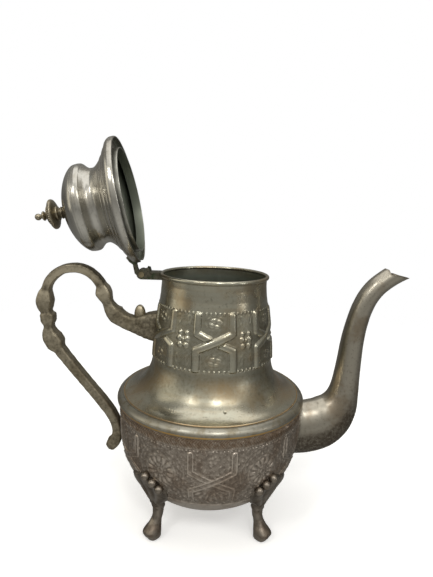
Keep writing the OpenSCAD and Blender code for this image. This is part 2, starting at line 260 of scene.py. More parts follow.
@dataclass(frozen=True)
class MetalFinish:
    """One finish of old plated metal.

    The mesh may carry five numbers per point: relief (0 in the lowest ground, 1 on the
    crests), chased (1 where relief counts), worn (1 where the plating has gone), a darkening
    number (1 where painted shade, and in places soiling, darkens the colour: in corners,
    grooves, crevices and on undersides) and an inner-face number (1 on faces that were never
    polished, whose darker colour is partly unpolished metal and partly painted shade).
    """

    name: str
    slot: str
    metal: Colour
    tarnish: Colour
    # the dark colour that painted shade, soiling, specks and pits take the metal towards
    recess: Colour
    under: Colour = (0.46, 0.30, 0.12)
    roughness: float = 0.34
    swing: float = 0.10
    blotch: float = 26.0
    share: float = 0.45
    grain: Grain = Grain.SPUN
    depth: float = 0.02
    relief_low: float = 0.2
    relief_high: float = 0.7
    pits: float = 0.35
    # how far the low parts of the chasing are darkened
    dirt_and_shade: float = 1.0
    # colour of the inner faces: unpolished metal, darkened as painted shade of the interior
    lining: Colour = (0.29, 0.305, 0.25)

    def grain_height(self, nodes: Nodes) -> bpy.types.NodeSocket:
        """The fine pattern left by the tool.

        Args:
            nodes: the tree it is added to.

        Returns:
            A height socket.
        """
        if self.grain is Grain.SPUN:
            return nodes.noise(nodes.position((25.0, 25.0, 2600.0)), 1.0, 2.0)
        if self.grain is Grain.BRUSHED:
            return nodes.noise(nodes.position((1500.0, 1500.0, 60.0)), 1.0, 2.0)
        if self.grain is Grain.MATTED:
            return nodes.noise(nodes.position((1.0, 1.0, 1.0)), 1150.0, 2.0, 0.6)
        return nodes.noise(nodes.position((1.0, 1.0, 1.0)), 620.0, 4.0, 0.62)

    def plating(self, n: Nodes, clouds: bpy.types.NodeSocket,
                specks: bpy.types.NodeSocket) -> bpy.types.NodeSocket:
        """The colour of the metal before dirt and wear.

        Args:
            n: the tree it is added to.
            clouds: the wide unevenness.
            specks: the fine unevenness.

        Returns:
            A colour socket.
        """
        patches = n.range(clouds, 0.62 - 0.3 * self.share, 0.80 - 0.3 * self.share)
        colour = n.mix(patches, self.metal, self.tarnish)
        colour = n.mix(n.range(specks, 0.52, 0.78, 0.0, 0.45), colour, self.recess)
        if self.grain is Grain.SPUN:
            streaks = n.noise(n.position((30.0, 30.0, 420.0)), 1.0, 3.0)
            colour = n.mix(n.range(streaks, 0.40, 0.75, 0.0, 0.40), colour, self.tarnish)
        if self.grain is Grain.CORRODED:
            bloom = n.range(n.noise(n.position((1.0, 1.0, 1.0)), 210.0, 4.0, 0.6), 0.50, 0.62)
            colour = n.mix(bloom, colour, GREEN_BLOOM)
        return colour

    def dirt_and_shade_share(self, n: Nodes, specks: bpy.types.NodeSocket) -> bpy.types.NodeSocket:
        """How far each spot is darkened: by the painted shade and soiling carried on the points, and in the
        low parts of the chasing.

        Args:
            n: the tree it is added to.
            specks: the fine unevenness.

        Returns:
            A value socket.
        """
        # painted shade, with some soiling, carried on the points
        dirt_and_shade = n.attribute("grime")
        if self.grain is not Grain.BRUSHED:
            low = n.range(n.attribute("relief"), self.relief_low, self.relief_high, 1.0, 0.0)
            in_chasing = n.maths("MULTIPLY", n.attribute("chased"), self.dirt_and_shade)
            dirt_and_shade = n.maths("MAXIMUM", n.maths("MULTIPLY", low, in_chasing), dirt_and_shade)
        if self.grain is Grain.CORRODED:
            dirt_and_shade = n.maths("MAXIMUM", dirt_and_shade, n.range(specks, 0.5, 0.7, 0.0, 0.5))
        return n.maths("MULTIPLY", dirt_and_shade, n.range(specks, 0.25, 0.62, 0.55, 1.0))

    def build(self) -> bpy.types.Material:
        """Make the material.

        Returns:
            The finished material.
        """
        n = Nodes(self.name)
        plain = n.position((1.0, 1.0, 1.0))
        clouds = n.noise(plain, 1000.0 / self.blotch, 4.0, 0.6)
        specks = n.noise(plain, 520.0, 3.0, 0.65)
        dirt_and_shade, worn, lining = self.dirt_and_shade_share(n, specks), n.attribute("worn"), n.attribute("lining")
        holes = n.add("ShaderNodeTexVoronoi")
        holes.inputs["Scale"].default_value = 240.0
        n.link(plain, holes.inputs["Vector"])
        holes = holes.outputs["Distance"]

        # painted shade and soiling take the colour towards the dark recess colour
        colour = n.mix(dirt_and_shade, self.plating(n, clouds, specks), self.recess)
        fray = n.maths("MULTIPLY", worn, n.range(specks, 0.30, 0.52, 0.45, 1.0))
        colour = n.mix(fray, colour, self.under)
        colour = n.mix(n.range(holes, 0.06, 0.13, self.pits, 0.0), colour, self.recess)
        # inner faces take their darker colour: unpolished metal and painted shade of the interior
        colour = n.mix(lining, colour, self.lining)

        uneven = n.maths("ADD", n.range(clouds, 0.3, 0.7, -self.swing, self.swing), self.roughness)
        uneven = n.maths("ADD", uneven, n.maths("MULTIPLY", lining, 0.18))
        rough = n.maths("ADD", uneven, n.maths("MULTIPLY", dirt_and_shade, 0.28))
        normal = n.bump(self.grain_height(n), 0.55, self.depth)
        normal = n.bump(n.noise(plain, 95.0, 2.0), 0.35, 0.25, normal)
        normal = n.bump(n.range(holes, 0.04, 0.16), 0.3, 0.08, normal)

        shader = n.add("ShaderNodeBsdfPrincipled")
        shader.inputs["Metallic"].default_value = 1.0
        n.link(colour, shader.inputs["Base Color"])
        n.link(rough, shader.inputs["Roughness"])
        n.link(normal, shader.inputs["Normal"])
        out = n.add("ShaderNodeOutputMaterial")
        n.link(shader.outputs["BSDF"], out.inputs["Surface"])
        return n.material


BOWL_METAL = MetalFinish(
    "chased_bowl_metal", "embossed_silver", (0.56, 0.495, 0.425), (0.40, 0.325, 0.26), (0.115, 0.09, 0.07),
    under=(0.20, 0.125, 0.068), roughness=0.37, swing=0.06, blotch=18.0, share=0.5, grain=Grain.MATTED,
    depth=0.05, relief_low=0.14, relief_high=0.5, dirt_and_shade=0.66)
NECK_METAL = MetalFinish(
    "spun_neck_metal", "silvered_neck", (0.48, 0.465, 0.375), (0.38, 0.315, 0.21), (0.11, 0.098, 0.065),
    under=(0.52, 0.37, 0.20), roughness=0.25, swing=0.05, blotch=30.0, share=0.45, depth=0.012, pits=0.15,
    relief_low=0.16, relief_high=0.5, dirt_and_shade=0.55, lining=(0.42, 0.45, 0.38))
BAND_METAL = MetalFinish(
    "worn_band_metal", "worn_band", (0.37, 0.355, 0.30), (0.25, 0.22, 0.16), (0.09, 0.075, 0.05),
    under=(0.60, 0.36, 0.11), roughness=0.40, swing=0.07, blotch=11.0, share=0.45, depth=0.012)
SPOUT_METAL = MetalFinish(
    "smoothed_spout_metal", "silvered_spout", (0.415, 0.385, 0.32), (0.285, 0.24, 0.18), (0.085, 0.068, 0.05),
    roughness=0.34, swing=0.06, blotch=24.0, share=0.5, grain=Grain.BRUSHED, depth=0.012)
LID_METAL = MetalFinish(
    "spun_lid_metal", "silvered_lid", (0.51, 0.495, 0.45), (0.40, 0.375, 0.32), (0.12, 0.108, 0.085),
    roughness=0.24, swing=0.05, blotch=26.0, share=0.45, depth=0.008, pits=0.2,
    lining=(0.27, 0.29, 0.24))
CAST_METAL = MetalFinish(
    "cast_handle_metal", "cast_handle", (0.53, 0.47, 0.35), (0.37, 0.32, 0.225), (0.05, 0.041, 0.026),
    roughness=0.43, swing=0.06, blotch=14.0, share=0.45, grain=Grain.CAST, depth=0.04)
FOOT_METAL = MetalFinish(
    "cast_foot_metal", "cast_feet", (0.275, 0.24, 0.20), (0.18, 0.146, 0.113), (0.045, 0.036, 0.026),
    roughness=0.40, swing=0.08, blotch=9.0, share=0.5, grain=Grain.CAST, depth=0.07)
HINGE_METAL = MetalFinish(
    "corroded_hinge_metal", "hinge_metal", (0.15, 0.142, 0.105), (0.095, 0.09, 0.065), (0.025, 0.024, 0.018),
    roughness=0.42, swing=0.08, blotch=6.0, share=0.55, grain=Grain.CORRODED, depth=0.12)
FINIAL_METAL = MetalFinish(
    "turned_finial_metal", "finial_brass", (0.36, 0.32, 0.24), (0.25, 0.215, 0.15), (0.045, 0.038, 0.026),
    roughness=0.35, swing=0.08, blotch=8.0, share=0.5, depth=0.012)
OLD_BRASS = MetalFinish(
    "old_brass_fittings", "old_brass", (0.34, 0.29, 0.18), (0.20, 0.165, 0.10), (0.06, 0.05, 0.03),
    roughness=0.36, swing=0.08, blotch=9.0, share=0.5, grain=Grain.CAST, depth=0.03)


class Paintshop:
    """Makes each finish once and puts it on pieces."""

    def __init__(self) -> None:
        """Start with no finish made."""
        self.made: Dict[str, bpy.types.Material] = {}

    def dress(self, piece: bpy.types.Object, finish: MetalFinish) -> bpy.types.Object:
        """Put a finish on a piece.

        Args:
            piece: the piece to dress.
            finish: its finish.

        Returns:
            The same piece.
        """
        if finish.name not in self.made:
            self.made[finish.name] = finish.build()
        material = self.made[finish.name]
        if piece.material_slots:
            for place in piece.material_slots:
                place.material = material
        else:
            piece.data.materials.append(material)
        return piece


# ---- shaping helpers -----------------------------------------------------------------------


def bezier(a: Point, b: Point, c: Point, d: Point, steps: int) -> np.ndarray:
    """Points on one cubic curve.

    Args:
        a: start.
        b: first handle.
        c: second handle.
        d: end.
        steps: number of steps.

    Returns:
        steps + 1 points.
    """
    t = np.linspace(0.0, 1.0, steps + 1)[:, None]
    s = 1.0 - t
    return (s ** 3 * np.array(a) + 3 * s * s * t * np.array(b)
            + 3 * s * t * t * np.array(c) + t ** 3 * np.array(d))


def even(line: np.ndarray, step: float) -> np.ndarray:
    """Points at even spacing along a line.

    Args:
        line: the line's points.
        step: wanted spacing.

    Returns:
        The new points, both ends kept.
    """
    run = np.concatenate([[0.0], np.cumsum(np.linalg.norm(np.diff(line, axis=0), axis=1))])
    places = np.linspace(0.0, run[-1], max(2, int(round(run[-1] / step)) + 1))
    return np.stack([np.interp(places, run, line[:, k]) for k in range(line.shape[1])], axis=1)


def directions(line: np.ndarray) -> np.ndarray:
    """Which way a line runs at each of its points, as unit steps.

    Args:
        line: the line's points.

    Returns:
        One unit step for each point.
    """
    way = np.gradient(line, axis=0)
    return way / np.linalg.norm(way, axis=1)[:, None]


def beside(line: np.ndarray, offset: Lift) -> np.ndarray:
    """A line moved sideways, to its right as it is drawn.

    Args:
        line: the line's points.
        offset: how far it moves, one number or one for each point.

    Returns:
        The moved points.
    """
    way = directions(line)
    return line + offset * np.stack([way[:, 1], -way[:, 0]], axis=1)


def through(rows: Table, count: int) -> np.ndarray:
    """A smooth run through a table of sections.

    The first two columns are a place and get an ordinary smooth curve. The other columns are
    sizes and directions, and never swing past the values they join.

    Args:
        rows: the sections.
        count: how many sections to return.

    Returns:
        An array of sections.
    """
    p = np.asarray(rows, float)
    run = np.concatenate([[0.0], np.cumsum(np.linalg.norm(np.diff(p[:, :2], axis=0), axis=1))])
    slope = np.gradient(p, run, axis=0)
    steps = np.diff(p, axis=0) / np.diff(run)[:, None]
    for k in range(2, p.shape[1]):
        before, after = steps[:-1, k], steps[1:, k]
        flat = before * after <= 0
        mean = 2 * before * after / np.where(flat, 1.0, before + after)
        slope[1:-1, k] = np.where(flat, 0.0, mean)
    at = np.linspace(0.0, run[-1], count)
    i = np.clip(np.searchsorted(run, at, side="right") - 1, 0, len(run) - 2)
    h = (run[i + 1] - run[i])[:, None]
    t = (at - run[i])[:, None] / h
    return ((2 * t ** 3 - 3 * t ** 2 + 1) * p[i] + (t ** 3 - 2 * t ** 2 + t) * h * slope[i]
            + (3 * t ** 2 - 2 * t ** 3) * p[i + 1] + (t ** 3 - t ** 2) * h * slope[i + 1])


def quads(rows: int, columns: int, loop_rows: bool = False, loop_columns: bool = True) -> np.ndarray:
    """Faces of a grid of points.

    Args:
        rows: number of rows.
        columns: number of points in a row.
        loop_rows: whether the last row joins the first.
        loop_columns: whether each row closes on itself.

    Returns:
        Four point numbers for each face.
    """
    r, c = np.meshgrid(np.arange(rows if loop_rows else rows - 1),
                       np.arange(columns if loop_columns else columns - 1), indexing="ij")
    up, on = (r + 1) % rows, (c + 1) % columns
    return np.stack([r * columns + c, r * columns + on, up * columns + on, up * columns + c],
                    axis=-1).reshape(-1, 4)


@dataclass
class Sheet:
    """Points, faces and painted numbers of one piece while it is being made."""

    points: np.ndarray
    faces: List[Sequence[int]]
    paint: Dict[str, np.ndarray] = field(default_factory=dict)

    @staticmethod
    def from_grid(grid: np.ndarray, loop_rows: bool = False, loop_columns: bool = True,
                  paint: Optional[Dict[str, np.ndarray]] = None) -> "Sheet":
        """A sheet from rows of points.

        Args:
            grid: rows x columns x 3.
            loop_rows: whether the last row joins the first.
            loop_columns: whether each row closes on itself.
            paint: numbers of the same rows x columns shape.

        Returns:
            The sheet.
        """
        rows, columns = grid.shape[:2]
        faces = quads(rows, columns, loop_rows, loop_columns).tolist()
        painted = {key: np.asarray(value, float).reshape(-1) for key, value in (paint or {}).items()}
        return Sheet(grid.reshape(-1, 3), faces, painted)

    def joined(self, other: "Sheet") -> "Sheet":
        """This sheet and another as one.

        Args:
            other: the sheet to add.

        Returns:
            A new sheet with both.
        """
        shift = len(self.points)
        faces = list(self.faces) + [[k + shift for k in face] for face in other.faces]
        paint = {}
        for key in set(self.paint) | set(other.paint):
            mine = self.paint.get(key, np.zeros(shift))
            theirs = other.paint.get(key, np.zeros(len(other.points)))
            paint[key] = np.concatenate([mine, theirs])
        return Sheet(np.concatenate([self.points, other.points]), faces, paint)

    def capped(self, ring: Sequence[int]) -> "Sheet":
        """The sheet with one more face over the points named."""
        return Sheet(self.points, list(self.faces) + [list(ring)], self.paint)

    def closed(self, columns: int) -> "Sheet":
        """The sheet with a face over its first and over its last row."""
        return self.capped(range(columns)).capped(range(len(self.points) - columns, len(self.points)))

    def piece(self, name: str, sharp: float = 50.0) -> bpy.types.Object:
        """Make the Blender object.

        Args:
            name: its name.
            sharp: edges bent further than this, in degrees, stay crisp.

        Returns:
            The object, in metres.
        """
        mesh = bpy.data.meshes.new(name)
        mesh.from_pydata((self.points * MM).tolist(), [], self.faces)
        for key, values in self.paint.items():
            mesh.attributes.new(key, "FLOAT", "POINT").data.foreach_set("value", values.astype(np.float32))
        work = bmesh.new()
        work.from_mesh(mesh)
        bmesh.ops.remove_doubles(work, verts=work.verts, dist=1e-7)
        bmesh.ops.recalc_face_normals(work, faces=work.faces)
        work.to_mesh(mesh)
        work.free()
        mesh.shade_smooth()
        mesh.set_sharp_from_angle(angle=math.radians(sharp))
        piece = bpy.data.objects.new(name, mesh)
        bpy.context.scene.collection.objects.link(piece)
        return piece


def turned(profile: np.ndarray, columns: int) -> Tuple[np.ndarray, np.ndarray]:
    """Turn a profile round the axis.

    Args:
        profile: radius and height of each row.
        columns: points round a row.

    Returns:
        The grid of points and the angle of each column, in degrees from the front.
    """
    angle = np.linspace(0.0, 360.0, columns, endpoint=False)
    sine, cosine = np.sin(np.radians(angle)), np.cos(np.radians(angle))
    grid = np.empty((len(profile), columns, 3))
    grid[:, :, 0] = profile[:, :1] * sine
    grid[:, :, 1] = -profile[:, :1] * cosine
    grid[:, :, 2] = profile[:, 1:2]
    return grid, angle


def push_out(grid: np.ndarray, angle: np.ndarray, amount: np.ndarray) -> None:
    """Push the points of a turned grid away from the axis, in place.

    Args:
        grid: rows x columns x 3.
        angle: angle of each column, in degrees from the front.
        amount: how far each point goes.
    """
    grid[:, :, 0] += amount * np.sin(np.radians(angle))
    grid[:, :, 1] -= amount * np.cos(np.radians(angle))


def off_bowl(points: np.ndarray, bowl: "Bowl") -> np.ndarray:
    """How far points lie outside the bowl's skin, negative within it."""
    return np.hypot(points[..., 0], points[..., 1]) - bowl.radius_at(points[..., 2])


def bead(centre: Sequence[float], half: Sequence[float], steps: int = 14) -> Sheet:
    """A rounded bead.

    Args:
        centre: its middle.
        half: half sizes along X, Y and Z.
        steps: rows from pole to pole.

    Returns:
        A closed sheet.
    """
    down = np.radians(np.linspace(4.0, 176.0, steps))
    profile = np.stack([np.sin(down), np.cos(down)], axis=1)
    grid, _ = turned(profile, steps * 2)
    grid = grid * np.asarray(half, float) + np.asarray(centre, float)
    return Sheet.from_grid(grid).closed(steps * 2)


def trimmed(grid: np.ndarray, keep: np.ndarray, rows: int) -> np.ndarray:
    """Cut every lengthwise line of a sweep where a field turns negative.

    Args:
        grid: fine rows x columns x 3.
        keep: a field on the same points, positive where metal stays.
        rows: rows of the result.

    Returns:
        rows x columns x 3, evenly spaced between each line's two cuts.
    """
    made = np.empty((rows, grid.shape[1], 3))
    order = np.arange(grid.shape[0], dtype=float)
    for column in range(grid.shape[1]):
        value = keep[:, column]
        kept = np.nonzero(value > 0)[0]
        first = kept[0]
        gone = np.nonzero(value[first:] <= 0)[0]
        last = first + gone[0] - 1 if len(gone) else grid.shape[0] - 1
        start = float(first)
        if first > 0:
            start -= value[first] / (value[first] - value[first - 1])
        end = float(last)
        if last < grid.shape[0] - 1:
            end += value[last] / (value[last] - value[last + 1])
        places = np.linspace(start, end, rows)
        for axis in range(3):
            made[:, column, axis] = np.interp(places, order, grid[:, column, axis])
    return made


def swept(sections: np.ndarray, across: np.ndarray, up: np.ndarray) -> np.ndarray:
    """Sweep a ring along sections that lie in the pot's middle plane.

    Args:
        sections: rows of x, z, direction, half height, half width.
        across: the ring's points along Y, for a half width of 1.
        up: the ring's points at right angles to that, for a half height of 1.

    Returns:
        rows x columns x 3.
    """
    turn = np.radians(sections[:, 2:3])
    u, v = sections[:, 3:4] * up[None, :], sections[:, 4:5] * across[None, :]
    return np.stack([sections[:, 0:1] - np.sin(turn) * u, v + 0 * u,
                     sections[:, 1:2] + np.cos(turn) * u], axis=-1)


# ---- chasing -------------------------------------------------------------------------------


def to_path(s: np.ndarray, z: np.ndarray, path: Sequence[Point]) -> np.ndarray:
    """Distance of points from a line of straight strokes.

    Args:
        s: places along the band.
        z: heights.
        path: corners of the line.

    Returns:
        Distances.
    """
    best = np.full(np.broadcast(s, z).shape, 1e9)
    for (s0, z0), (s1, z1) in zip(path[:-1], path[1:]):
        length = (s1 - s0) ** 2 + (z1 - z0) ** 2
        along = np.clip(((s - s0) * (s1 - s0) + (z - z0) * (z1 - z0)) / length, 0.0, 1.0)
        best = np.minimum(best, np.hypot(s - s0 - along * (s1 - s0), z - z0 - along * (z1 - z0)))
    return best


def rounded(distance: np.ndarray, half: float, height: float) -> np.ndarray:
    """A rounded ridge: full height on its line, nothing past half a width."""
    return height * np.clip(1.0 - (distance / half) ** 2, 0.0, 1.0) ** 0.7


@dataclass(frozen=True)
class Chasing:
    """A pattern of strapwork, rosettes and beads that repeats round a band.

    s is the distance along the band from the middle of a strapwork panel; rosettes stand
    half-way between two panels.
    """

    radius: float
    bottom: float
    top: float
    centre: float
    strap_out: float
    bends: Tuple[float, float]
    strap_half: float
    strap_height: float
    rosette_z: float
    rosette_r: float
    petals: int
    stipple: float
    ground: float = -0.35
    repeats: int = 6
    phase: float = 1.0
    strap_end: float = 75.5
    grain: float = 0.16
    bold: float = 1.0

    def place(self, angle: np.ndarray) -> np.ndarray:
        """Distance along the band from the nearest panel's middle, for angles in degrees."""
        step = 360.0 / self.repeats
        return np.radians((angle - self.phase + step / 2) % step - step / 2) * self.radius

    def straps(self, s: np.ndarray, z: np.ndarray) -> np.ndarray:
        """The two straps, one passing over the other.

        Args:
            s: places along the band.
            z: heights.

        Returns:
            The height in millimetres, far below zero off the ornament.
        """
        low, high = self.bends
        out, end = self.strap_out, self.strap_end
        over = [(-out, self.bottom + 1.5), (-out, low), (out, high), (out, end)]
        under = [(out, self.bottom + 1.5), (out, low), (-out, high), (-out, end)]
        first, second = to_path(s, z, over), to_path(s, z, under)
        hidden = (np.abs(s) < self.strap_out * 0.6) & (first < self.strap_half * 1.35)
        return np.maximum(self.strap(first), np.where(hidden, -9.0, self.strap(second)))

    def strap(self, distance: np.ndarray) -> np.ndarray:
        """Section of one strap: a rounded back with a step at each edge.

        Args:
            distance: distance from the strap's middle line.

        Returns:
            The height in millimetres, far below zero beside the strap.
        """
        half = self.strap_half
        back = rounded(distance, half, self.strap_height)
        return np.where(distance < half, back + 0.12, OFF)

    def rosette(self, s: np.ndarray, z: np.ndarray) -> np.ndarray:
        """A flower half-way between two panels.

        Args:
            s: places along the band.
            z: heights.

        Returns:
            The height in millimetres, far below zero off the ornament.
        """
        middle = math.pi * self.radius / self.repeats
        ds, dz = middle - np.abs(s), z - self.rosette_z
        out = np.hypot(ds, dz) / self.rosette_r
        turn = np.arctan2(dz, ds * np.sign(s + 1e-9))
        petal = np.clip(np.abs(np.cos(turn * self.petals / 2)) * 1.5 - 0.3, 0.0, 1.0)
        body = rounded(out - 0.70, 0.25, 0.50) * petal
        inner = rounded(out - 0.36, 0.11, 0.30) * petal
        boss = rounded(out - 0.17, 0.07, 0.30)
        ring = rounded(out - 1.0, 0.07, 0.22)
        return np.where(out < 1.12, np.maximum.reduce([body, inner, boss, ring]) + self.ground, OFF)

    def motif(self, s: np.ndarray, z: np.ndarray, height: float, size: float) -> np.ndarray:
        """A small cartouche with a sprig in it.

        Args:
            s: places along the band.
            z: heights.
            height: height of its middle.
            size: half its height.

        Returns:
            The height in millimetres.
        """
        out = np.hypot(s / 1.35, z - height) / size
        turn = np.arctan2(z - height, s)
        ring = rounded(out - 0.95, 0.16, 0.15) * (0.5 + 0.5 * np.cos(turn * 7.0 + 1.0))
        sprig = rounded(out - 0.45, 0.3, 0.34) * (0.2 + 0.8 * np.abs(np.sin(turn * 2.0 + 0.6)))
        return np.maximum(ring, sprig) * self.bold + self.ground

    def beads(self, s: np.ndarray, z: np.ndarray, height: float, pitch: float,
              size: float) -> np.ndarray:
        """A row of beads at one height."""
        near = (s + pitch / 2) % pitch - pitch / 2
        return rounded(np.hypot(near, z - height), size, 0.62) + self.ground

    def matting(self, s: np.ndarray, z: np.ndarray) -> np.ndarray:
        """The punched ground.

        Args:
            s: places along the band.
            z: heights.

        Returns:
            The height in millimetres.
        """
        k = 2 * math.pi / self.stipple
        wander = 0.5 * np.sin(s * 0.9) + 0.5 * np.sin(z * 1.1 + s * 0.3)
        return self.ground + self.grain * np.cos(k * s + wander) * np.cos(k * z - wander)


@dataclass(frozen=True)
class NeckChasing(Chasing):
    """The band of chasing round the neck."""

    def strap(self, distance: np.ndarray) -> np.ndarray:
        """Section of one strap: a full round back on a low step."""
        back = self.strap_height * np.sqrt(np.clip(1.0 - (distance / self.strap_half) ** 2, 0.0, 1.0))
        return np.where(distance < self.strap_half, back - 0.05, OFF)

    def rosette(self, s: np.ndarray, z: np.ndarray) -> np.ndarray:
        """Two columns of three bold knobs half-way between two panels.

        Args:
            s: places along the band.
            z: heights.

        Returns:
            The height in millimetres, far below zero off the ornament.
        """
        middle = math.pi * self.radius / self.repeats
        ds, dz = middle - np.abs(s), z - self.rosette_z
        best = np.full(np.broadcast(s, z).shape, OFF)
        for across, up, size in ((-2.4, 3.6, 1.9), (2.3, 3.9, 1.7), (-2.9, -0.2, 2.0), (2.7, 0.3, 2.1),
                                 (-2.2, -4.0, 1.8), (2.2, -3.7, 2.0), (0.0, 0.0, 1.2)):
            best = np.maximum(best, rounded(np.hypot(ds - across, dz - up), size, 0.95))
        return best + self.ground

    def height(self, angle: np.ndarray, z: np.ndarray) -> Tuple[np.ndarray, np.ndarray]:
        """Height of the pattern.

        Args:
            angle: degrees from the front.
            z: height on the pot.

        Returns:
            The height in millimetres and 1 where there is chasing.
        """
        s = self.place(angle)
        h = self.matting(s, z)
        h = np.maximum(h, self.motif(s, z, self.centre + 11.0, 4.5))
        h = np.maximum(h, self.motif(s, z, self.centre - 12.6, 4.3))
        tall = np.abs(z - self.centre) > 7.6
        frame = np.abs(np.abs(s) - self.strap_out + 3.0)
        h = np.where(tall, np.maximum(h, rounded(frame, 0.45, 0.22) + self.ground), h)
        leaf = np.hypot((np.abs(s) - 16.6) / 1.3, (np.abs(z - self.centre) - 12.4) / 3.4)
        h = np.maximum(h, rounded(leaf - 0.75, 0.3, 0.24) + self.ground)
        h = np.maximum(h, self.rosette(s, z))
        h = np.maximum(h, self.straps(s, z))
        for edge in (self.bottom + 0.9, self.top - 0.9):
            h = np.maximum(h, self.beads(s, z, edge, 2.875, 1.0))
        within = (np.clip((z - self.bottom) / 0.7, 0, 1) * np.clip((self.top - z) / 0.7, 0, 1))
        return h * within, within


@dataclass(frozen=True)
class BowlChasing(Chasing):
    """The chasing that covers the bowl."""

    hatch: Tuple[float, float] = (79.6, 86.2)

    def strap(self, distance: np.ndarray) -> np.ndarray:
        """Section of one strap: two thin rails with a flat floor between them.

        Args:
            distance: distance from the strap's middle line.

        Returns:
            The height in millimetres, far below zero beside the strap.
        """
        rails = rounded(distance - self.strap_half, 0.55, 0.58)
        floor = np.where(distance < self.strap_half, 0.12, 0.0)
        return np.where(distance < self.strap_half + 0.5, np.maximum(rails, floor) + self.ground, OFF)

    def height(self, angle: np.ndarray, z: np.ndarray) -> Tuple[np.ndarray, np.ndarray]:
        """Height of the pattern.

        Args:
            angle: degrees from the front.
            z: height on the pot.

        Returns:
            The height in millimetres and 1 where there is chasing.
        """
        s = self.place(angle)
        h = self.matting(s, z)
        inner, high = self.strap_out - 3.4, self.bends[1]
        frame = [(-inner, self.strap_end - 1.0), (-inner, high + 1.6), (-inner + 3.6, high - 1.0),
                 (inner - 3.6, high - 1.0), (inner, high + 1.6), (inner, self.strap_end - 1.0)]
        h = np.maximum(h, rounded(to_path(s, z, frame), 0.45, 0.22) + self.ground)
        for shift, up in ((-2.6, 73.4), (0.0, 74.2), (2.6, 73.4), (-1.2, 71.4), (1.4, 71.2)):
            eye = np.hypot((s - shift) / 1.4, z - up)
            h = np.maximum(h, rounded(eye, 0.85, 0.32) + self.ground)
        h = np.maximum(h, self.motif(s, z, self.centre - 10.0, 3.4))
        fan = np.hypot(s, z - self.centre + 4.0)
        rays = rounded(np.abs(np.sin(np.arctan2(s, self.centre - 4.0 - z) * 9.0)) * 1.2, 1.0, 0.3)
        h = np.where((fan > 5.5) & (fan < 11.5) & (z < self.centre - 7.5), self.ground + rays, h)
        middle = math.pi * self.radius / self.repeats
        ds = middle - np.abs(s)
        reach = np.hypot(ds, (z - self.rosette_z) * 0.92)
        upper = z > self.rosette_z - 6.0
        for wide, rise in ((1.30, 0.16), (1.52, 0.22)):
            arch = rounded(np.abs(reach - self.rosette_r * wide), 0.5, rise) + self.ground
            h = np.where(upper, np.maximum(h, arch), h)
        sprigs = np.sin(s * 1.15 + 0.6 * np.sin(z * 0.8)) * np.sin(z * 1.35 + 0.8 * np.sin(s * 0.7))
        h = np.maximum(h, np.where(sprigs > 0.55, self.ground + (sprigs - 0.55) * 0.8, OFF))
        h = np.maximum(h, self.rosette(s, z))
        fade = np.clip((z - 39.0) / 7.0, 0.25, 1.0)
        straps = self.straps(s, z)
        h = np.maximum(h, np.where(straps > -2.0, (straps - self.ground) * fade + self.ground, OFF))
        h = np.maximum(h, self.beads(s, z, self.hatch[0] - 1.3, 2.2, 0.6) - 0.12)
        low, high = self.hatch
        slant = (s - np.abs(z - (low + high) / 2) * 0.9) * 2 * math.pi / 1.65
        chevron = self.ground * 0.6 + 0.2 * np.cos(slant)
        h = np.where((z > low) & (z < high), chevron, h)
        line = np.abs(z - low)
        h = np.maximum(h, rounded(line, 0.5, 0.28) + self.ground)
        foot = rounded(np.abs(z - self.bottom - 1.0), 0.8, 0.4) + self.ground
        h = np.maximum(h, foot)
        within = (np.clip((z - self.bottom) / 2.0, 0, 1) * np.clip((self.top - z) / 0.5, 0, 1))
        return h * within, within


# ---- pot -----------------------------------------------------------------------------------


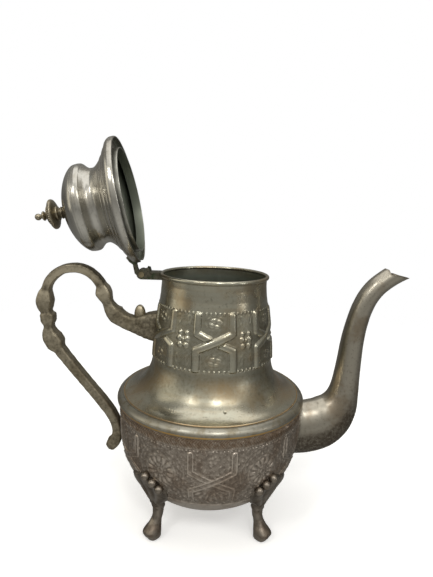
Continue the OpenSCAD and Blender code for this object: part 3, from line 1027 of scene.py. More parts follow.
@dataclass
class Bowl:
    """The raised bowl, chased all round."""

    radius: float = 63.2
    bottom: float = 14.6
    middle: float = 72.0
    top: float = 86.4
    fullness: float = 2.4
    wall: float = 0.9
    spout_hole: float = 11.0
    spout_z: float = 63.0
    dent: float = 0.10
    tooling: float = 0.16
    crest_gain: float = 1.1
    ground_gain: float = 1.35
    columns: int = 1080
    chasing: BowlChasing = BowlChasing(
        radius=61.5, bottom=37.0, top=86.3, centre=58.0, strap_out=12.9, bends=(51.0, 64.0),
        strap_half=1.45, strap_height=0.45, rosette_z=61.0, rosette_r=10.0, petals=13, stipple=1.7)

    def side(self, inset: float) -> np.ndarray:
        """The side's line, from the underside's middle to the top edge.

        Args:
            inset: how far it lies within the outer skin.

        Returns:
            Radius and height.
        """
        t = np.radians(np.linspace(90.0, 0.0, 900))
        k = 2.0 / self.fullness
        depth = self.middle - self.bottom
        r = (self.radius - inset) * np.cos(t) ** k
        z = self.middle - (depth - inset) * np.sin(t) ** k
        return np.concatenate([np.stack([r, z], axis=1), [[self.radius - inset + 0.3, self.top]]])

    def radius_at(self, z: np.ndarray) -> np.ndarray:
        """The skin's radius at heights on it."""
        line = self.side(0.0)
        return np.interp(z, line[:, 1], line[:, 0], left=0.0)

    def build(self) -> bpy.types.Object:
        """Make the bowl.

        Returns:
            The bowl, rim and inner skin included.
        """
        outer = even(self.side(0.0), 0.42)
        outer = outer[outer[:, 0] > 0.5]
        grid, angle = turned(outer, self.columns)
        height, chased = self.chasing.height(angle[None, :], outer[:, 1:2])
        way, z = directions(outer), outer[:, 1:2]
        dents = self.dent * np.sin(np.radians(angle * 5))[None, :] * np.sin(z * 0.21)
        worked = self.tooling * np.sin(np.radians(angle * 61.0) + np.sin(z * 0.6) * 2.0)
        worked = worked * np.sin(z * 1.05 + np.radians(angle * 17.0))
        lift = height * np.where(height > 0, self.crest_gain, self.ground_gain) + dents + worked * chased
        push_out(grid, angle, lift * way[:, 1:2])
        grid[:, :, 2] -= lift * way[:, 0:1]
        # the outer skin is made darker towards the bottom of the bowl
        paint = {"relief": np.clip((height + worked + 0.5) / 1.2, 0, 1), "chased": chased + 0 * height,
                 "worn": np.clip((z - 79.0) / 2.0, 0, 1) * 0.6 + 0 * height,
                 "grime": np.clip((26.0 - z) / 26.0, 0, 0.4) + 0 * height}
        skin = Sheet.from_grid(grid, paint=paint)
        skin.faces = self.clear_of_hole(skin)
        inner = even(self.side(self.wall), 2.5)
        inner = inner[inner[:, 0] > 0.5][::-1]
        lining, _ = turned(inner, self.columns // 4)
        # painted shade: the inner skin is dark all over
        inside = Sheet.from_grid(lining, paint={"grime": np.full(lining.shape[:2], 0.7)})
        inside.faces = self.clear_of_hole(inside)
        inside = inside.capped(range(len(inside.points) - self.columns // 4, len(inside.points)))
        whole = skin.capped(range(self.columns)).joined(inside)
        return whole.piece("bowl_chased", 60.0)

    def clear_of_hole(self, sheet: Sheet) -> List[Sequence[int]]:
        """The faces that don't lie over the spout's hole.

        Args:
            sheet: a skin of the bowl.

        Returns:
            Its faces without those.
        """
        faces = np.asarray(sheet.faces)
        middle = sheet.points[faces].mean(axis=1)
        away = np.hypot(middle[:, 1], middle[:, 2] - self.spout_z)
        kept = (middle[:, 0] < 0) | (away > self.spout_hole)
        return faces[kept].tolist()


@dataclass
class Neck:
    """The upper body: shoulder, neck and rolled mouth in one spun piece."""

    shoulder_r: float = 60.2
    shoulder_z: float = 92.4
    foot_r: float = 41.0
    foot_z: float = 119.0
    top_r: float = 35.5
    mouth_z: float = 172.4
    roll: float = 1.25
    wall: float = 0.9
    pit_angle: float = 9.0
    pit_r: float = 50.8
    pit_depth: float = 0.5
    columns: int = 720
    chasing: NeckChasing = NeckChasing(
        radius=38.4, bottom=117.2, top=154.8, centre=137.0, strap_out=11.2, bends=(131.2, 141.4),
        strap_half=2.35, strap_height=1.15, rosette_z=137.2, rosette_r=5.4, petals=6, stipple=1.6,
        strap_end=152.6, ground=-0.28, grain=0.30, bold=1.8)

    def side(self) -> np.ndarray:
        """The outer line from the shoulder's edge to just under the roll.

        Returns:
            Radius and height.
        """
        t = np.radians(np.linspace(82.0, 0.0, 90))
        flare = np.stack([self.foot_r + 22.0 * (1 - np.cos(t)),
                          self.foot_z - 26.6 * np.sin(t)], axis=1)
        taper = bezier((self.foot_r - 0.4, self.foot_z + 6), (39.6, 136), (37.7, 150), (36.1, 160), 40)
        return np.concatenate([[[self.shoulder_r, self.shoulder_z]], flare, taper,
                               [[self.top_r, 167.0], [self.top_r, self.mouth_z - 1.2]]])

    def radius_at(self, z: np.ndarray) -> np.ndarray:
        """The outer radius at a height."""
        line = self.side()
        return np.interp(z, line[:, 1], line[:, 0])

    def build(self) -> bpy.types.Object:
        """Make the shoulder, neck and mouth.

        Returns:
            The piece.
        """
        outer = even(self.side(), 0.42)
        rim = np.radians(np.linspace(-100.0, 203.0, 34))
        centre = self.top_r + 0.25
        roll = np.stack([centre + self.roll * np.cos(rim), self.mouth_z + self.roll * np.sin(rim)], axis=1)
        inner = even(beside(self.side(), -self.wall), 1.6)[::-1]
        profile = np.concatenate([outer, roll, inner])
        grid, angle = turned(profile, self.columns)
        n = len(outer)
        height, chased = self.chasing.height(angle[None, :], outer[:, 1:2])
        push = np.zeros(grid.shape[:2])
        push[:n] = height + self.dents(angle, outer)
        push_out(grid, angle, push)
        relief = np.ones(grid.shape[:2])
        marked, worn, grime, lining = (np.zeros(grid.shape[:2]) for _ in range(4))
        relief[:n], marked[:n] = np.clip((height + 0.5) / 1.3, 0, 1), chased
        worn[:n], grime[:n] = self.wear_and_shade(angle, outer)
        pit = self.pit(angle, outer)
        grime[:n] = np.maximum(grime[:n], pit)
        grid[:n, :, 2] -= pit * self.pit_depth
        within = n + len(roll)
        # the inside of the mouth takes the darker inner colour, more so deeper down: unpolished metal and
        # painted shade
        lining[within:] = np.clip((169.6 - profile[within:, 1:2]) / 3.0, 0.35, 1.0)
        paint = {"relief": relief, "chased": marked, "worn": worn, "grime": grime, "lining": lining}
        return Sheet.from_grid(grid, loop_rows=True, paint=paint).piece("neck_and_shoulder", 60.0)

    def wear_and_shade(self, angle: np.ndarray, outer: np.ndarray) -> Tuple[np.ndarray, np.ndarray]:
        """Where the plating has gone, and where shade is painted: under the rolled mouth and on the lower
        flare.

        Args:
            angle: degrees from the front.
            outer: radius and height of each row of the skin.

        Returns:
            The worn share and the painted shade of each point.
        """
        r, z, turn = outer[:, 0:1], outer[:, 1:2], np.radians(angle)[None, :]
        bronzed = np.sin(2.0 * turn + 2.2) * np.sin(r * 0.21) + 0.5 * np.sin(5.0 * turn + 0.4)
        shoulder = np.clip((116.0 - z) / 6.0, 0, 1)
        edge = np.clip(1 - (self.shoulder_r - r) / 0.9, 0, 1)
        worn = np.maximum(edge, np.clip(bronzed, 0, 1) * 0.6 * shoulder)
        # painted shade in a thin ring under the rolled mouth
        under_roll = np.clip(1 - np.abs(z - 170.9) / 0.5, 0, 1) * 0.8
        # painted shade on the lower flare, standing in for its darker reflection
        flare = np.clip((z - 97.0) / 6.0, 0, 1) * np.clip((118.5 - z) / 4.0, 0, 1)
        return worn, np.maximum(under_roll, 0.45 * flare)

    def dents(self, angle: np.ndarray, outer: np.ndarray) -> np.ndarray:
        """The slight waviness left by raising and long use.

        Args:
            angle: degrees from the front.
            outer: radius and height of each row of the skin.

        Returns:
            The rise in millimetres.
        """
        z = outer[:, 1:2]
        a = np.radians(angle)[None, :]
        calm = np.clip((z - 95.0) / 10.0, 0, 1) * np.clip((168.0 - z) / 5.0, 0, 1)
        return calm * (0.09 * np.sin(3 * a + z * 0.07) + 0.05 * np.sin(7 * a - z * 0.11))

    def pit(self, angle: np.ndarray, outer: np.ndarray) -> np.ndarray:
        """One deep corrosion pit on the shoulder.

        Args:
            angle: degrees from the front.
            outer: radius and height of each row of the skin.

        Returns:
            1 in the pit and 0 away from it.
        """
        a = np.radians(angle)[None, :]
        across = (a - math.radians(self.pit_angle)) * outer[:, 0:1]
        along = outer[:, 0:1] - self.pit_r
        on_shoulder = outer[:, 1:2] < 105.0
        return np.where(on_shoulder, np.clip(1.25 - np.hypot(across / 0.9, along / 0.75), 0, 1), 0.0)


@dataclass
class WaistBand:
    """The moulding that covers the seam between shoulder and bowl."""

    columns: int = 360

    def build(self) -> bpy.types.Object:
        """Make the moulding.

        Returns:
            The band, worn to the brass on both edges.
        """
        crown = bezier((60.25, 92.35), (62.4, 92.5), (64.3, 90.9), (64.9, 88.8), 26)
        lip = bezier((64.95, 88.3), (65.0, 87.8), (64.9, 87.2), (64.35, 86.5), 8)
        back = np.array([[62.7, 86.4], [61.9, 88.0], [60.1, 91.6]])
        profile = np.concatenate([crown, lip, back])
        grid, _ = turned(profile, self.columns)
        z = profile[:, 1:2] + 0 * grid[:, :, 0]
        r = profile[:, 0:1] + 0 * grid[:, :, 0]
        worn = np.maximum(np.clip(1 - np.abs(z - 87.5) / 0.8, 0, 1), np.clip(1 - (r - 60.2) / 0.55, 0, 1))
        # painted shade along the upper edge where the band meets the shoulder, and a thin darker line round
        # the crown
        grime = np.maximum(np.clip(1 - np.abs(z - 89.4) / 0.3, 0, 1) * 0.5,
                           np.clip(1 - np.abs(r - 61.3) / 0.45, 0, 1) * 0.8)
        paint = {"worn": np.clip(worn * 1.5, 0, 1), "grime": grime}
        return Sheet.from_grid(grid, loop_rows=True, paint=paint).piece("waist_moulding", 45.0)


@dataclass
class Spout:
    """The swan spout with its notched beak."""

    wall: float = 1.0
    rows: int = 260
    columns: int = 72
    solder: float = 1.1
    fillet: float = 3.5
    root_z: float = 62.6
    root_top: float = 90.0
    bite: float = 0.45
    stains: Sequence[Point3] = ((66.5, 57.5, 1.5), (69.0, 58.2, 1.2), (64.6, 61.5, 1.1))
    path: Table = (
        (56.5, 62.1, 2, 19.4, 13.6), (69.5, 63.3, 8, 19.4, 13.6), (81.7, 67.3, 20, 18.6, 13.4),
        (89.8, 74.1, 38, 16, 12.5), (94.1, 82.8, 58, 12.8, 11.2), (95.7, 92.5, 74, 10.3, 9.8),
        (96.5, 103, 83, 9.1, 9), (97.4, 116, 86, 8.3, 8.4), (98.4, 129, 84, 7.8, 8),
        (100.5, 142, 78, 7.3, 7.6), (103.3, 152.5, 70, 7.1, 7.4), (106.9, 160.6, 60, 7, 7.3),
        (111.7, 167.2, 49, 6.9, 7.2), (117.5, 172.3, 37, 6.8, 7.1), (123.5, 176.5, 31, 6.8, 7.1),
        (131, 180.6, 27, 6.8, 7.1))
    beak: Sequence[Point] = (
        (116.3, 240.0), (116.9, 180.3), (118.0, 179.9), (118.5, 177.1), (120.5, 176.5), (125.1, 176.4),
        (129.1, 175.2), (134.1, 174.2), (150, 174))

    def tube(self, bowl: Bowl, inset: float) -> np.ndarray:
        """One skin of the spout, cut to the bowl and to the beak.

        Args:
            bowl: the bowl it stands against.
            inset: how far the skin lies within the outer one.

        Returns:
            rows x columns x 3.
        """
        sections = through(self.path, 1400)
        sections[:, 3:5] -= inset
        q = np.linspace(0.0, 2 * math.pi, self.columns, endpoint=False)
        grid = swept(sections, np.sin(q), np.cos(q))
        skin = off_bowl(grid, bowl) + self.bite
        cut = np.interp(grid[..., 0], [x for x, _ in self.beak], [z for _, z in self.beak])
        keep = np.minimum(np.where(grid[..., 2] < self.root_top, skin, FAR), cut - grid[..., 2])
        made = trimmed(grid, keep, self.rows)
        if inset == 0.0:
            near = np.clip(1.0 - off_bowl(made, bowl) / self.fillet, 0, 1)[..., None] ** 2
            out = made - np.array([0.0, 0.0, self.root_z])
            out[..., 0] = 0.0
            out /= np.linalg.norm(out, axis=-1, keepdims=True) + 1e-9
            made = made + out * near * self.solder
        return made

    def build(self, bowl: Bowl) -> bpy.types.Object:
        """Make the spout.

        Args:
            bowl: the bowl it is soldered to.

        Returns:
            The spout with its bore.
        """
        outer, inner = self.tube(bowl, 0.0), self.tube(bowl, self.wall)[::-1]
        # painted shade: the bore is dark all over
        grime = np.concatenate([self.dirt_and_shade(outer, bowl), np.full(inner.shape[:2], 0.85)])
        sheet = Sheet.from_grid(np.concatenate([outer, inner]), loop_rows=True, paint={"grime": grime})
        return sheet.piece("swan_spout", 50.0)

    def dirt_and_shade(self, outer: np.ndarray, bowl: Bowl) -> np.ndarray:
        """Painted shade and soiling: painted shade in the crevice at the solder and under the elbow, three
        real stains, and darker rows at the beak's edge.

        Args:
            outer: the outer skin's rows of points.
            bowl: the bowl it is soldered to.

        Returns:
            0 where untouched and 1 where darkest.
        """
        # painted shade, with some soiling, in the crevice where the spout meets the bowl
        root = np.clip(1.0 - off_bowl(outer, bowl) / 2.2, 0, 1) * (outer[..., 2] < self.root_top)
        spots = [np.hypot(outer[..., 0] - x, outer[..., 2] - z) / r for x, z, r in self.stains]
        stain = np.where(outer[..., 1] < 0, np.clip(1.5 - np.minimum.reduce(spots), 0, 1), 0.0)
        # painted shade under the elbow, on the side that faces down and away from the light
        middle = outer.mean(axis=1, keepdims=True)
        under = (outer[..., 2] - middle[..., 2]) - (outer[..., 0] - middle[..., 0]) * 0.75
        elbow = np.clip((3.5 - under) / 6.0, 0, 1) * np.clip((97.0 - outer[..., 2]) / 20.0, 0, 1) * 0.95
        # darker on the last rows, at the beak's edge
        tip = np.clip((np.arange(self.rows)[:, None] - self.rows + 4) / 4.0, 0, 1) * 0.8
        return np.maximum.reduce([root * 0.9, stain, elbow, tip + 0 * root])


@dataclass
class Handle:
    """The cast loop handle: bracket, leaf sleeve, arch, three knops, strap and curled end."""

    rows: int = 620
    columns: int = 64
    rest: float = 0.4
    rest_top: float = 86.0
    corner: float = 1.74
    crispness: float = 22.0
    neck_bite: float = 0.45
    path: Table = (
        (-34.5, 135.5, 180, 11.5, 6.2), (-42.5, 135.6, 178, 9.6, 6), (-49.5, 136.2, 173, 7.4, 5.6),
        (-56.5, 137.3, 164, 5.3, 5.2), (-62.5, 140, 150, 5, 5.2), (-66.5, 143, 138, 5.5, 5.5),
        (-69.7, 146.8, 120, 4.2, 5), (-72.1, 151.6, 104, 3.4, 4.5), (-73.7, 154.8, 102, 4.3, 5.2),
        (-74.8, 157.8, 102, 5, 5.6), (-75.5, 160.6, 108, 4.5, 5.2), (-76.9, 163.9, 116, 3.2, 4.5),
        (-80.9, 169.1, 134, 3.1, 4.4), (-87.1, 173.2, 156, 3.1, 4.4), (-94.5, 174.5, 180, 3.1, 4.4),
        (-101.7, 173.1, 204, 3, 4.4), (-107.9, 168.9, 228, 3, 4.4), (-111.8, 163.8, 246, 2.8, 4.3),
        (-113.1, 160.3, 254, 2.9, 4.4), (-114.2, 155.8, 258, 4.5, 5.2), (-114.6, 151.2, 268, 5.2, 5.8),
        (-114.6, 147.2, 272, 4.7, 5.2), (-113.9, 143.6, 276, 3.3, 4.4), (-113.1, 141.6, 276, 4.5, 5),
        (-112.8, 138, 272, 4.5, 5), (-112.5, 133.8, 272, 3, 4.3), (-112.3, 129.8, 282, 4.3, 4.8),
        (-110.3, 125.2, 294, 5.7, 5.6), (-108.3, 121.6, 300, 5.7, 5.6), (-105.4, 116.9, 306, 3.6, 4.6),
        (-99.9, 109.4, 308, 3.4, 4.4), (-85.3, 90.6, 308, 3.3, 4.4), (-76.1, 78.7, 307, 3.4, 4.4),
        (-69.9, 69.6, 300, 3.2, 4.6), (-66.7, 61.6, 280, 3.2, 4.8), (-66.2, 55.2, 262, 3.5, 5),
        (-67.7, 50, 236, 3.9, 5.2), (-70.5, 47, 218, 4, 5), (-72.9, 45.4, 210, 2.5, 3.4),
        (-73.9, 44.8, 210, 0.9, 1.2))
    lumps: Sequence[Tuple[Point3, Point3, int]] = (
        ((-50.4, 0, 143.4), (3.9, 3.3, 6.9), 18), ((-68.4, 0, 139.2), (2.1, 3.0, 2.4), 14))

    def ring(self) -> Tuple[np.ndarray, np.ndarray]:
        """An oblong section with filed-off corners.

        Returns:
            The ring's points across and up, for half sizes of 1.
        """
        q = np.linspace(0.0, 2 * math.pi, self.columns, endpoint=False)
        c, s = np.cos(q), np.sin(q)
        flat = np.minimum(1 / np.maximum(np.abs(c), 1e-6), 1 / np.maximum(np.abs(s), 1e-6))
        corner = self.corner / (np.abs(c) + np.abs(s))
        soft = (flat ** -self.crispness + corner ** -self.crispness) ** (-1 / self.crispness)
        return soft * s, soft * c

    def build(self, bowl: Bowl, neck: Neck) -> bpy.types.Object:
        """Make the handle.

        Args:
            bowl: the bowl its foot rests against.
            neck: the neck its bracket is soldered to.

        Returns:
            The handle in one piece.
        """
        sections = through(self.path, 1800)
        across, up = self.ring()
        grid = swept(sections, across, up)
        near_neck = np.hypot(grid[..., 0], grid[..., 1]) - neck.radius_at(grid[..., 2]) + self.neck_bite
        keep = np.where(grid[..., 0] > -52.0, near_neck, FAR)
        made = trimmed(grid, keep, self.rows)
        made = self.rough_cast(made)
        inside = off_bowl(made, bowl) < -self.rest
        radius = np.hypot(made[..., 0], made[..., 1])
        pulled = (bowl.radius_at(made[..., 2]) - self.rest) / radius
        held = np.where(inside & (made[..., 2] < self.rest_top), pulled, 1.0)
        made[..., 0] *= held
        made[..., 1] *= held
        paint = {"grime": self.dirt_and_shade(made, neck), "relief": np.full(made.shape[:2], CAST_RELIEF)}
        sheet = Sheet.from_grid(made, paint=paint).closed(self.columns)
        for place, half, steps in self.lumps:
            sheet = sheet.joined(bead(place, half, steps))
        return sheet.piece("cast_handle", 24.0)

    def rough_cast(self, made: np.ndarray) -> np.ndarray:
        """Give the bar the leaf's veins and the unevenness of a casting.

        Args:
            made: the handle's rows of points.

        Returns:
            The rows, moved in or out a little.
        """
        x, y, z = made[..., 0], made[..., 1], made[..., 2]
        middle = made.mean(axis=1, keepdims=True)
        out = made - middle
        size = np.linalg.norm(out, axis=-1, keepdims=True)
        on_sleeve = np.clip(1 - np.abs(z - 146.5) / 6.0, 0, 1) * ((x < -63.0) & (x > -76.0))
        on_root = np.clip(1 - np.abs(x + 50.0) / 12.0, 0, 1) * (x > -63.0)
        veins = (0.35 * np.abs(np.sin(y * 1.35)) * on_sleeve
                 + 0.22 * np.sin(x * 1.1 + y * 0.8) * np.sin(z * 0.9) * on_root)
        cast = 0.08 * np.sin(x * 0.55 + 1.3) * np.sin(z * 0.61) + 0.05 * np.sin(x * 1.7) * np.sin(y * 1.3)
        return middle + out * (1 + (veins + cast)[..., None] / (size + 1e-6))

    def dirt_and_shade(self, made: np.ndarray, neck: Neck) -> np.ndarray:
        """Where it is darkened: painted shade in the waists between knops and along the arch's outer edge,
        painted shade and soiling in the leaf and at the solder, and a darker lower handle.

        Args:
            made: the handle's rows of points.
            neck: the neck its bracket is soldered to.

        Returns:
            0 where untouched and 1 where darkest.
        """
        x, z = made[..., 0], made[..., 2]
        # painted shade in the waists between knops
        waists = [(-72.1, 151.0), (-76.6, 163.6), (-113.9, 143.7), (-112.5, 133.9), (-113.2, 160.5),
                  (-105.2, 116.6), (-66.9, 143.6)]
        dirt_and_shade = np.zeros(x.shape)
        for wx, wz in waists:
            dirt_and_shade = np.maximum(dirt_and_shade, np.clip(1.25 - np.hypot(x - wx, z - wz) / 4.2, 0, 1) * 0.75)
        # painted shade, with some soiling, where the bracket meets the neck and along the leaf
        root = np.hypot(x, made[..., 1]) - neck.radius_at(z)
        dirt_and_shade = np.maximum(dirt_and_shade, np.clip(1 - root / 3.0, 0, 1) * (z > 120))
        # the whole handle below 160 mm is made darker, a little more towards the strap's end
        strap = np.clip((160.0 - z) / 8.0, 0, 1) * (0.52 + 0.1 * np.clip((75.0 - z) / 30.0, 0, 1))
        dirt_and_shade = np.maximum(dirt_and_shade, strap)
        dirt_and_shade = np.maximum(dirt_and_shade, 0.72 * np.clip((x + 70.0) / 18.0, 0, 1) * (z > 120))
        # painted shade along the arch's outer, upper edge, which turns away from the light
        arch = np.clip((z - 158.0) / 6.0, 0, 1) * (x < -74.0)
        rim = made - made.mean(axis=1, keepdims=True)
        outer = rim[..., 0] * (x + 94.5) / 20.0 + rim[..., 2] * (z - 156.0) / 20.0
        return np.maximum(dirt_and_shade, np.clip(outer / 2.2 - 0.15, 0, 1) * arch * 0.8)


@dataclass
class Foot:
    """One cast foot: hoof, leg and a fluted fan under three beads, spread on the bowl.

    turn is the foot's place round the pot; hand is -1 for the feet that are mirrored.
    """

    turn: float
    name: str
    hand: int
    rows: int = 110
    columns: int = 64
    squareness: float = 2.6
    bead_r: float = 2.9
    bead_lift: float = 1.5
    fan_rows: int = 60
    fan_columns: int = 61
    flutes: float = 3.5
    sunk: float = 0.55
    path: Table = (
        (0, 50.6, 3.7, 3.5), (0.6, 50.7, 4.3, 4.2), (3.0, 51.4, 5.3, 5.0), (5.5, 51.8, 5.9, 5.3),
        (8, 51.0, 5.2, 4.7), (10.6, 49.3, 4.0, 3.7), (14, 47.7, 3.2, 3.2), (18, 46.8, 3.3, 3.3),
        (22, 46.8, 4.0, 4.1), (26, 48.0, 4.2, 4.8), (30, 49.4, 3.6, 4.6), (33, 50.8, 2.2, 3.4))
    beads: Table = ((5.5, 52.6), (10.2, 49.6), (14.2, 46.2))
    rear_edge: Table = ((-4.4, 24.0), (-7.6, 30.0), (-12.0, 36.4), (-14.2, 42.0), (-11.4, 47.0))
    front_edge: Table = ((4.6, 24.0), (8.6, 28.0), (14.0, 33.0), (17.6, 39.0), (18.0, 44.6))
    crest: Table = ((0.0, 25.4), (1.0, 32.0), (2.6, 41.0), (3.4, 48.0), (3.8, 53.8))

    def leg(self) -> Sheet:
        """The hoof and the leg above it.

        Returns:
            A closed skin in the foot's own frame.
        """
        s = through(self.path, self.rows)
        q = np.linspace(0.0, 2 * math.pi, self.columns, endpoint=False)
        bulge = 2.0 / self.squareness
        c = np.sign(np.cos(q)) * np.abs(np.cos(q)) ** bulge
        w = np.sign(np.sin(q)) * np.abs(np.sin(q)) ** bulge
        height = s[:, 0:1]
        toe = -0.7 * np.exp(-(w[None, :] / 0.16) ** 2) * np.clip((6.5 - height) / 4.0, 0, 1) * (c > 0)
        ankle = 0.25 * np.sin(height * 1.5) * np.clip(1 - np.abs(height - 21.0) / 5.0, 0, 1)
        rough = 0.12 * np.sin(height * 0.9 + w[None, :] * 4.0) * (height > 1.0)
        radial = s[:, 1:2] + s[:, 2:3] * c[None, :] + toe + ankle * c[None, :] + rough
        side = s[:, 3:4] * w[None, :]
        grid = np.stack([radial, side, height + 0 * radial], axis=-1)
        # painted shade: dark where the hoof meets the floor, and darker up the leg where it goes under the
        # bowl
        grime = np.maximum(np.clip(1 - height / 2.0, 0, 1) * 0.7,
                           np.clip((height - 21.0) / 6.0, 0, 1) * 0.45) + 0 * radial
        sheet = Sheet.from_grid(grid, paint={"grime": grime, "relief": np.full(grime.shape, CAST_RELIEF)})
        return sheet.closed(self.columns)

    def fan(self, bowl: Bowl) -> Sheet:
        """The fluted fan that is soldered to the bowl.

        Args:
            bowl: the bowl it lies on.

        Returns:
            A closed skin in the foot's own frame.
        """
        edges = (self.rear_edge, self.crest, self.front_edge)
        rear, crest, front = (through(edge, self.fan_rows) for edge in edges)
        v = np.linspace(-1.0, 1.0, self.fan_columns)
        before, after = np.clip(-v, 0, 1)[None, :, None], np.clip(v, 0, 1)[None, :, None]
        place = (crest[:, None, :] * (1 - before - after) + rear[:, None, :] * before
                 + front[:, None, :] * after)
        u = np.linspace(0.0, 1.0, self.fan_rows)[:, None]
        rim = np.clip((1.0 - np.abs(v))[None, :] / 0.14, 0, 1) ** 0.6 * np.clip((1.0 - u) / 0.07, 0, 1) ** 0.6
        rays = np.cos(v * self.flutes * math.pi)[None, :]
        height = place[..., 1]
        chord = 51.0 + (height - 24.0) * 0.41 - bowl.radius_at(height)
        stand = np.clip(chord, 1.7, 7.0) + self.sunk + 0.6 * rays * np.clip(u * 2.2, 0, 1)
        lift = -self.sunk + stand * rim
        front_skin = self.on_bowl(place, lift, bowl)
        back_skin = self.on_bowl(place, np.full(lift.shape, -0.6), bowl)[:, ::-1]
        grid = np.concatenate([front_skin, back_skin], axis=1)
        # painted shade in the grooves between the flutes, along the edge where the fan meets the bowl, and on
        # its back against the bowl
        groove = np.clip(0.35 - 0.75 * rays, 0, 1) * np.clip(u * 2.0, 0, 1) + 0 * lift
        edge = np.clip((0.3 - rim) / 0.3, 0, 1)
        grime = np.concatenate([np.maximum(groove * 0.6, edge * 0.6), np.full(lift.shape, 0.8)], axis=1)
        sheet = Sheet.from_grid(grid, paint={"grime": grime, "relief": np.full(grime.shape, CAST_RELIEF)})
        return sheet.closed(grid.shape[1])

    def on_bowl(self, place: np.ndarray, lift: np.ndarray, bowl: Bowl) -> np.ndarray:
        """Put points given by angle and height on the bowl.

        Args:
            place: angle in degrees and height.
            lift: how far each point stands off the bowl's skin.
            bowl: the bowl.

        Returns:
            The points.
        """
        r = bowl.radius_at(place[..., 1]) + lift
        a = np.radians(place[..., 0] * self.hand)
        return np.stack([r * np.cos(a), r * np.sin(a), place[..., 1]], axis=-1)

    def build(self, bowl: Bowl) -> bpy.types.Object:
        """Make the foot.

        Args:
            bowl: the bowl its fan lies against.

        Returns:
            The foot in place.
        """
        sheet = self.leg()
        p = sheet.points
        r = np.hypot(p[:, 0], p[:, 1])
        limit = bowl.radius_at(p[:, 2]) - self.sunk
        held = np.where((r < limit) & (p[:, 2] > 20.0), limit / r, 1.0)
        sheet.points = p * np.stack([held, held, np.ones(len(held))], axis=1)
        sheet = sheet.joined(self.fan(bowl))
        for angle, height in self.beads:
            spot = self.on_bowl(np.array([angle, height]), np.array(self.bead_lift), bowl)
            sheet = sheet.joined(bead(tuple(spot), (self.bead_r,) * 3, 16))
        turn = math.radians(self.turn)
        x, y, z = sheet.points.T
        sheet.points = np.stack([x * math.cos(turn) - y * math.sin(turn),
                                 x * math.sin(turn) + y * math.cos(turn), z], axis=1)
        return sheet.piece(self.name, 55.0)


# ---- lid -----------------------------------------------------------------------------------


@dataclass(frozen=True)
class LidPlace:
    """Where the open lid stands: its brim's middle is the origin of the lid's own frame."""

    pin_x: float = -48.8
    pin_z: float = 171.9
    brim_z: float = 170.1
    opened: float = 102.0

    def put(self, piece: bpy.types.Object, shop: Paintshop, finish: MetalFinish) -> bpy.types.Object:
        """Carry a piece from the lid's own frame to where the lid stands open.

        Args:
            piece: a piece made in the lid's frame.
            shop: the paintshop.
            finish: its finish.

        Returns:
            The piece, riding on the lid.
        """
        pin = Vector((self.pin_x, 0.0, self.pin_z)) * MM
        lift = Vector((-self.pin_x, 0.0, self.brim_z - self.pin_z)) * MM
        turn = Matrix.Rotation(math.radians(-self.opened), 4, "Y")
        piece.matrix_world = Matrix.Translation(pin) @ turn @ Matrix.Translation(lift)
        shop.dress(piece, finish)
        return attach(piece, "lid")


def swelling(height: np.ndarray, marks: Sequence[Tuple[float, float, float]]) -> np.ndarray:
    """Rings raised or sunk on a turned line.

    Args:
        height: height of each point.
        marks: height, half width and rise of each ring.

    Returns:
        The rise at each point.
    """
    total = np.zeros(len(height))
    for middle, half, rise in marks:
        total += rounded(np.abs(height - middle), half, 1.0) * rise
    return total


